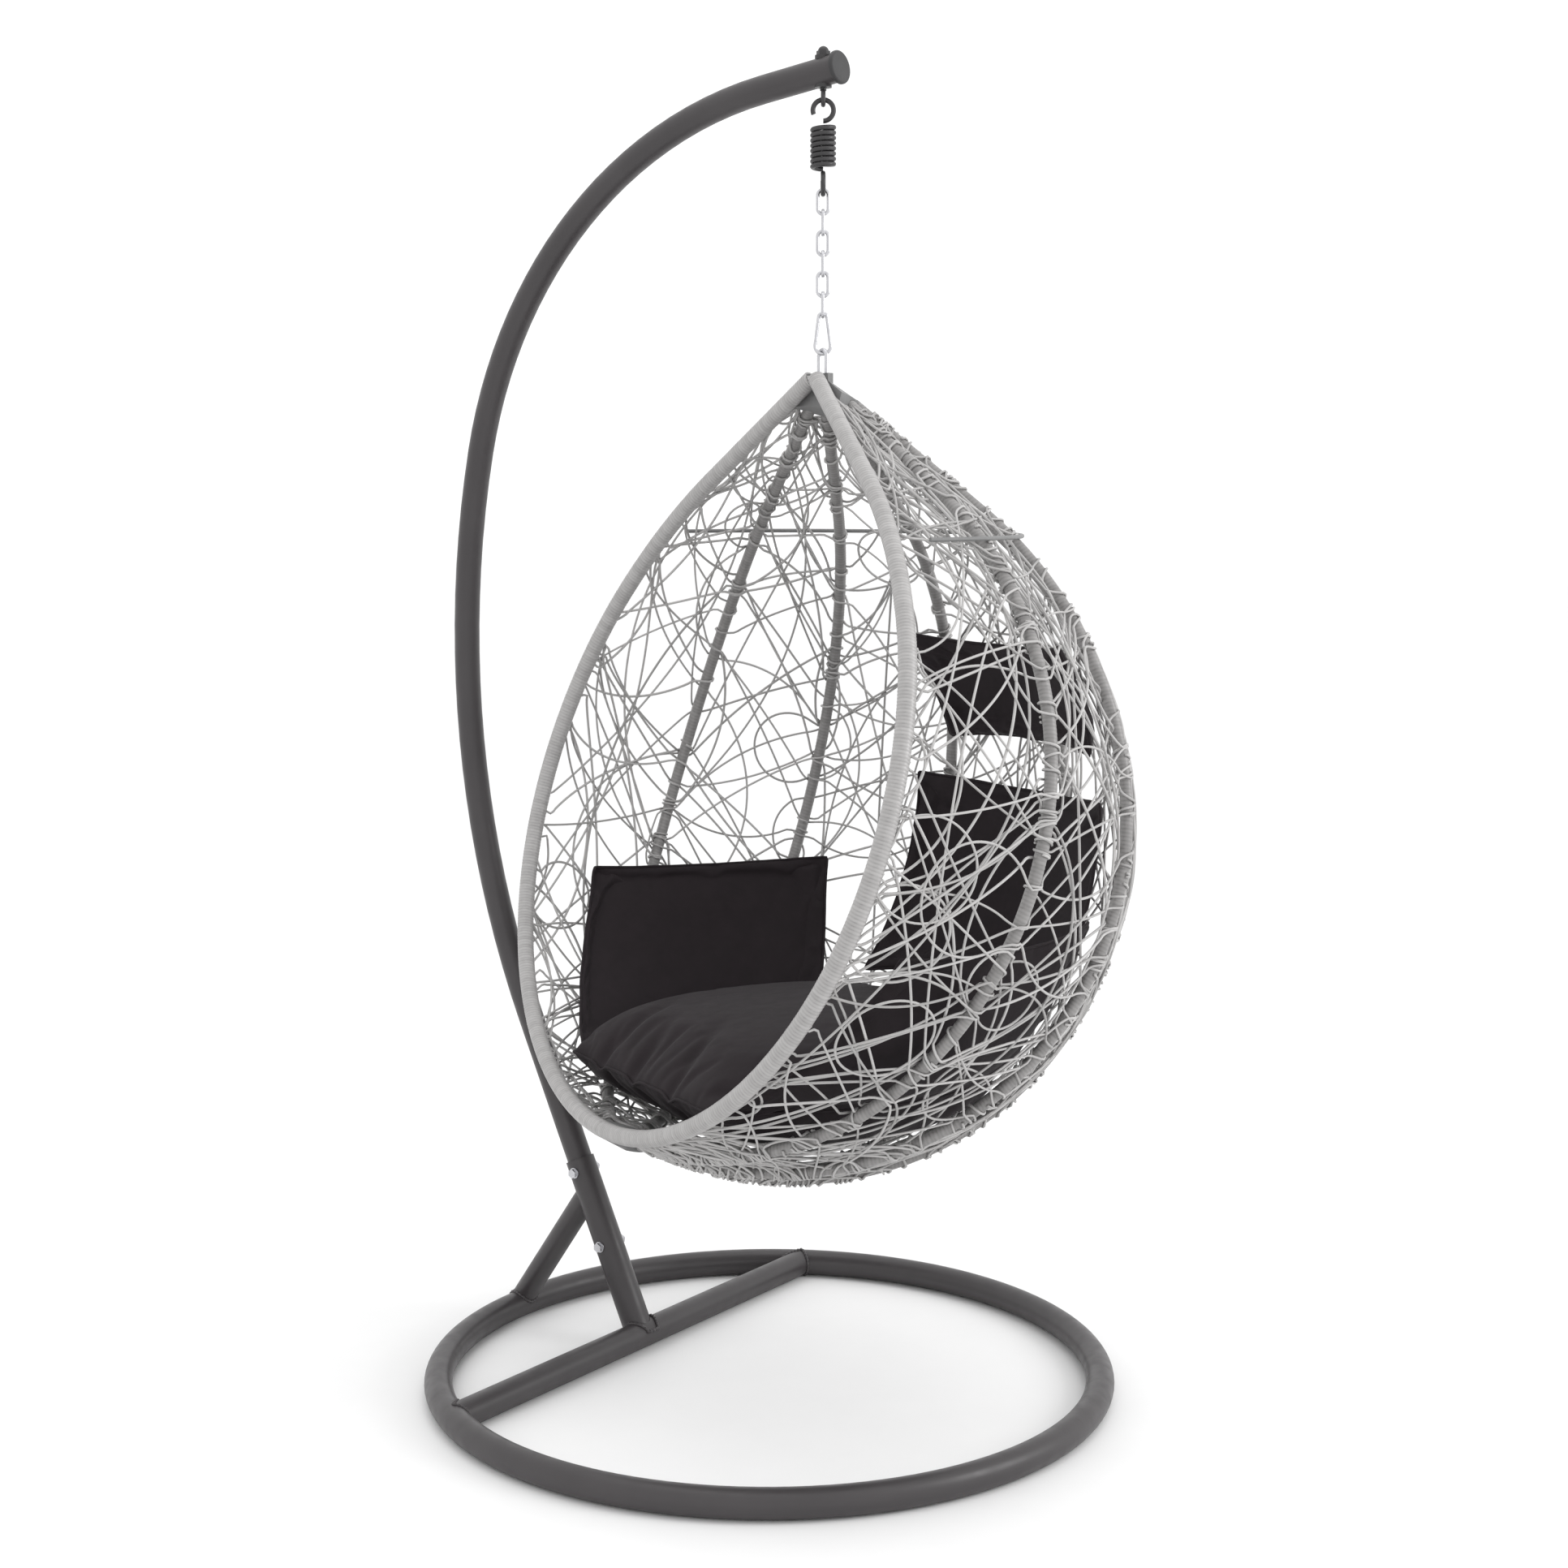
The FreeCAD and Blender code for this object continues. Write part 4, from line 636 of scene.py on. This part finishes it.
def pillow(name, sheet, normals, thick, pull):
    # two sheets sewn at the edge, crowned in the middle, as (mesh object, seam vertex numbers)
    rows, cols = sheet.shape[:2]
    u = np.linspace(-1, 1, cols)[None, :]
    w = np.linspace(-1, 1, rows)[:, None]
    crown = ((1 - np.abs(u) ** 2.6) * (1 - np.abs(w) ** 2.6)) ** 0.42
    crown[0, :] = crown[-1, :] = crown[:, 0] = crown[:, -1] = 0.0
    across = unit(sheet[rows // 2, -1] - sheet[rows // 2, 0])
    downwards = unit(sheet[-1, cols // 2] - sheet[0, cols // 2])
    bowed = sheet.copy()
    bowed -= (across[None, None, :] * (np.sign(u) * np.abs(u) ** 3 * (1 - w ** 2) * pull)[:, :, None])
    bowed -= (downwards[None, None, :] * (np.sign(w) * np.abs(w) ** 3 * (1 - u ** 2) * pull)[:, :, None])
    front = bowed + normals * (crown * thick / 2)[:, :, None]
    back = bowed - normals * (crown * thick / 2)[:, :, None]
    index = np.arange(rows * cols).reshape(rows, cols)
    other = index + rows * cols
    seam = np.zeros((rows, cols), bool)
    seam[0, :] = seam[-1, :] = seam[:, 0] = seam[:, -1] = True
    other[seam] = index[seam]
    faces = []
    for i in range(rows - 1):
        for j in range(cols - 1):
            faces.append([index[i, j], index[i + 1, j], index[i + 1, j + 1], index[i, j + 1]])
            faces.append([other[i, j], other[i, j + 1], other[i + 1, j + 1], other[i + 1, j]])
    verts = np.vstack([front.reshape(-1, 3), back.reshape(-1, 3)])
    used = sorted(set(n for f in faces for n in f))
    renumber = {n: i for i, n in enumerate(used)}
    faces = [[renumber[n] for n in f] for f in faces]
    loop = list(index[0, :-1]) + list(index[:-1, -1]) + list(index[-1, :0:-1]) + list(index[:0:-1, 0])
    piece = newPiece(name, verts[used], faces, cushionFabric, None)
    bpy.context.view_layer.objects.active = piece
    piece.select_set(True)
    bpy.ops.object.mode_set(mode="EDIT")
    bpy.ops.mesh.select_all(action="SELECT")
    bpy.ops.mesh.normals_make_consistent(inside=False)
    bpy.ops.object.mode_set(mode="OBJECT")
    piece.select_set(False)
    return piece, [renumber[n] for n in loop]


def positions(piece):
    flat = np.zeros(len(piece.data.vertices) * 3)
    piece.data.vertices.foreach_get("co", flat)
    return flat.reshape(-1, 3)


def setPositions(piece, points):
    piece.data.vertices.foreach_set("co", np.asarray(points, float).reshape(-1))
    piece.data.update()


stuffing = {"pressure": 4.0, "slack": 0.05, "furthest": 0.022, "frames": 20}


def stuff(piece, seam):
    # cloth simulation of the filled cover, held loosely along its seam
    start = positions(piece)
    group = piece.vertex_groups.new(name="seam")
    group.add(seam, 1.0, "REPLACE")
    cloth = piece.modifiers.new("cloth", "CLOTH")
    cloth.settings.quality = 6
    cloth.settings.mass = 0.25
    cloth.settings.tension_stiffness = 12
    cloth.settings.compression_stiffness = 12
    cloth.settings.shear_stiffness = 6
    cloth.settings.bending_stiffness = 0.35
    cloth.settings.use_pressure = True
    cloth.settings.uniform_pressure_force = stuffing["pressure"]
    cloth.settings.shrink_min = -stuffing["slack"]
    cloth.settings.vertex_group_mass = "seam"
    cloth.settings.pin_stiffness = 0.6
    cloth.settings.effector_weights.gravity = 0.0
    cloth.point_cache.frame_start = 1
    cloth.point_cache.frame_end = stuffing["frames"]
    for number in range(1, stuffing["frames"] + 1):
        scene.frame_set(number)
    evaluated = piece.evaluated_get(bpy.context.evaluated_depsgraph_get())
    flat = np.zeros(len(evaluated.data.vertices) * 3)
    evaluated.data.vertices.foreach_get("co", flat)
    piece.modifiers.remove(cloth)
    scene.frame_set(1)
    move = flat.reshape(-1, 3) - start
    far = np.linalg.norm(move, axis=1)
    move *= np.minimum(1.0, stuffing["furthest"] / np.maximum(far, 1e-9))[:, None]
    setPositions(piece, start + move)
    print("stuffed", piece.name, "moved %.1f mm" % (far.max() * 1000))


def finishCushion(piece, seam, node):
    # subdivide once, then sew a narrow corded seam round the edge
    seamLine = positions(piece)[seam]
    smooth = piece.modifiers.new("smooth", "SUBSURF")
    smooth.levels = smooth.render_levels = 1
    bpy.context.view_layer.objects.active = piece
    bpy.ops.object.modifier_apply(modifier="smooth")
    piece.data.shade_smooth()
    seamLine = np.array([piece.closest_point_on_mesh(point)[1] for point in seamLine])
    seamLine = evenly(np.vstack([seamLine, seamLine[:1]]), 0.006)
    piping = newPiece(piece.name + "-seam", *sweptRings(seamLine, 0.0022, 8), cushionFabric, "basket")
    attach(piece, "basket")
    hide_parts(node)


cushionSpecs = {
    "back_cushion": {"top": (-26, 26), "foot": (-26, 26), "heights": (0.905, 0.555), "thick": 0.062},
    "head_cushion": {"top": (-29, 29), "foot": (-20, 20), "heights": (1.145, 0.965), "thick": 0.052},
    "arm_cushion_right": {"top": (-80, -38), "foot": (-85, -28), "heights": (0.745, 0.475), "thick": 0.056},
    "arm_cushion_left": {"top": (38, 80), "foot": (28, 85), "heights": (0.745, 0.475), "thick": 0.056},
}
for node, spec in cushionSpecs.items():
    inset = ribRadius + 0.004 + spec["thick"] / 2
    sheet, normals = wallSheet(spec["top"], spec["foot"], spec["heights"], inset, 31, 47)
    piece, seam = pillow(node.replace("_", "-"), sheet, normals, spec["thick"] * 1.25, 0.010)
    stuff(piece, seam)
    finishCushion(piece, seam, node)


def seatSheet(rows, cols):
    # flat seat outline as a grid: straight front, bulging sides, narrow back
    side = splined(np.array([[0.306, 0.214, 0], [0.195, 0.262, 0], [0.040, 0.282, 0], [-0.140, 0.235, 0],
                             [-0.215, 0.090, 0]]), 12)
    left = sampled(side, rows)[0]
    grid = np.zeros((rows, cols, 3))
    for i in range(rows):
        half = left[i]
        for j in range(cols):
            u = -1 + 2 * j / (cols - 1)
            bulge = 0.012 * (1 - u * u) if i == 0 else 0.0
            grid[i, j] = (half[0] + bulge, half[1] * u, 0.0)
    return grid


flatSeat = seatSheet(61, 61)
seatCentre = np.array([apex[0], apex[1], 0.518])
seatGrid = seatCentre + flatSeat[:, :, :1] * forward + flatSeat[:, :, 1:2] * sideways
seat, seatSeam = pillow("seat-cushion", seatGrid, np.zeros_like(seatGrid) + up, 0.125, 0.008)
stuff(seat, seatSeam)


def pleat(piece, lines, width, depth):
    # sink a soft groove along each line, given as points on the seat's flat outline
    points = positions(piece)
    offset = points - seatCentre
    flat = np.stack([offset @ forward, offset @ sideways], axis=1)
    sink = np.zeros(len(points))
    for line in lines:
        curve = splined([(*point, 0.0) for point in line], 10)[:, :2]
        gaps = np.linalg.norm(flat[:, None, :] - curve[None, :, :], axis=2)
        nearest = gaps.argmin(axis=1)
        fade = 1.0 - nearest / len(curve)
        sink = np.maximum(sink, np.exp(-(gaps.min(axis=1) / width) ** 2) * fade ** 0.7)
    level = np.sign(offset @ up)
    points -= up * (sink * depth * level)[:, None]
    setPositions(piece, points)


pleatWidth, pleatDepth = 0.011, 0.016
pleat(seat, [[(0.31, 0.09), (0.27, 0.085), (0.215, 0.055), (0.17, 0.01)],
             [(0.31, -0.02), (0.26, -0.03), (0.21, -0.065)],
             [(0.31, -0.12), (0.25, -0.115), (0.19, -0.14), (0.15, -0.18)]], pleatWidth, pleatDepth)
finishCushion(seat, seatSeam, "seat_cushion")
print("cushions done")

# weld beads of the stand

beadInset = 0.0006


def squareTo(direction):
    a = unit(np.cross(direction, up if abs(direction[2]) < 0.9 else forward))
    return a, np.cross(direction, a)


def weldBead(name, start, direction, radius, otherPoint, otherDirection, otherRadius):
    # rippled bead where one tube, running along direction from start, meets the wall of another
    direction, otherDirection = unit(np.asarray(direction, float)), unit(np.asarray(otherDirection, float))
    a, b = squareTo(direction)
    line = []
    for angle in np.linspace(0.0, 2 * math.pi, 121):
        point = np.asarray(start, float) + (a * math.cos(angle) + b * math.sin(angle)) * (radius + beadInset)
        offset = point - otherPoint
        p = offset - otherDirection * offset.dot(otherDirection)
        q = direction - otherDirection * direction.dot(otherDirection)
        half = p.dot(q) / q.dot(q)
        rest = half ** 2 - (p.dot(p) - (otherRadius + beadInset) ** 2) / q.dot(q)
        line.append(point + direction * (-half - math.sqrt(max(rest, 0.0))))
    line = evenly(line, 0.0012)
    ripple = 0.0026 + 0.0005 * np.sin(np.arange(len(line)) * 1.3)
    verts, faces = sweptRings(line, ripple, 8)
    # nothing of a bead reaches below the floor
    verts[:, 2] = np.maximum(verts[:, 2], 0.0003)
    newPiece(name, verts, faces, framePaint, "stand")


ringLevel, ringMiddle, crossbarBack = 0.0212, 0.5, 0.247
ringTube, socketTube, braceTube = 0.0212, 0.023, 0.019
poleLean = math.radians(24.6)
poleWay = np.array([0.0, math.sin(poleLean), math.cos(poleLean)])
poleFoot = np.array([0.0, 0.245, ringLevel])
braceTop, braceFoot = np.array([0.0, 0.353, 0.236]), np.array([0.0, 0.500, 0.031])
braceMiddle = (braceTop + braceFoot) / 2
sideOut = np.array([1.0, 0.0, 0.0])
ringBack = np.array([0.0, ringMiddle, ringLevel])
barMiddle = np.array([0.0, crossbarBack, ringLevel])
weldBead("weld_brace_top", braceMiddle, braceTop - braceFoot, braceTube, poleFoot, poleWay, socketTube)
weldBead("weld_brace_foot", braceMiddle, braceFoot - braceTop, braceTube, ringBack, sideOut, ringTube)
weldBead("weld_socket_foot", poleFoot + poleWay * 0.15, -poleWay, socketTube, barMiddle, sideOut, ringTube)
crossbarEnd = math.sqrt(ringMiddle ** 2 - crossbarBack ** 2)
for side in (-1.0, 1.0):
    ringWay = np.array([-crossbarBack, side * crossbarEnd, 0.0])
    label = "weld_crossbar_" + ("left" if side < 0 else "right")
    barStart, barEnd = barMiddle + sideOut * side * 0.25, barMiddle + sideOut * side * crossbarEnd
    weldBead(label, barStart, sideOut * side, ringTube, barEnd, ringWay, ringTube)
print("welds done")

# floor, light, camera

bpy.ops.mesh.primitive_plane_add(size=60, location=(0, 0, -0.0003))
floor = bpy.context.object
floor.name = "floor"
floorPaint = variedMaterial("floorPaint", (0.87, 0.87, 0.87), (0.90, 0.90, 0.90), (0.6, 0.66), bump=0.02)
floor.data.materials.append(floorPaint)

world = bpy.data.worlds.new("studio")
scene.world = world
world.use_nodes = True
world.node_tree.nodes["Background"].inputs["Color"].default_value = (1.0, 1.0, 1.0, 1.0)
world.node_tree.nodes["Background"].inputs["Strength"].default_value = 1.14


def softLight(name, place, target, size, power):
    data = bpy.data.lights.new(name, "AREA")
    data.shape = "RECTANGLE"
    data.size, data.size_y = size
    data.energy = power
    light = bpy.data.objects.new(name, data)
    scene.collection.objects.link(light)
    light.location = place
    direction = np.asarray(target, float) - np.asarray(place, float)
    light.rotation_euler = Vector(direction).to_track_quat("-Z", "Y").to_euler()


softLight("key", (1.4, -3.6, 2.4), (0.0, 0.0, 1.0), (1.6, 2.2), 60)
softLight("overhead", (0.0, 0.0, 4.2), (0.0, 0.0, 0.8), (3.0, 3.0), 20)

data = bpy.data.cameras.new("camera")
data.sensor_width = 36.0
data.lens = 55.49
camera = bpy.data.objects.new("camera", data)
scene.collection.objects.link(camera)
camera.location = (-2.87012, -2.08545, 1.35766)
camera.rotation_euler = (math.radians(82.8995), 0.0, math.radians(-54.353))
scene.camera = camera
scene.view_settings.view_transform = "Standard"
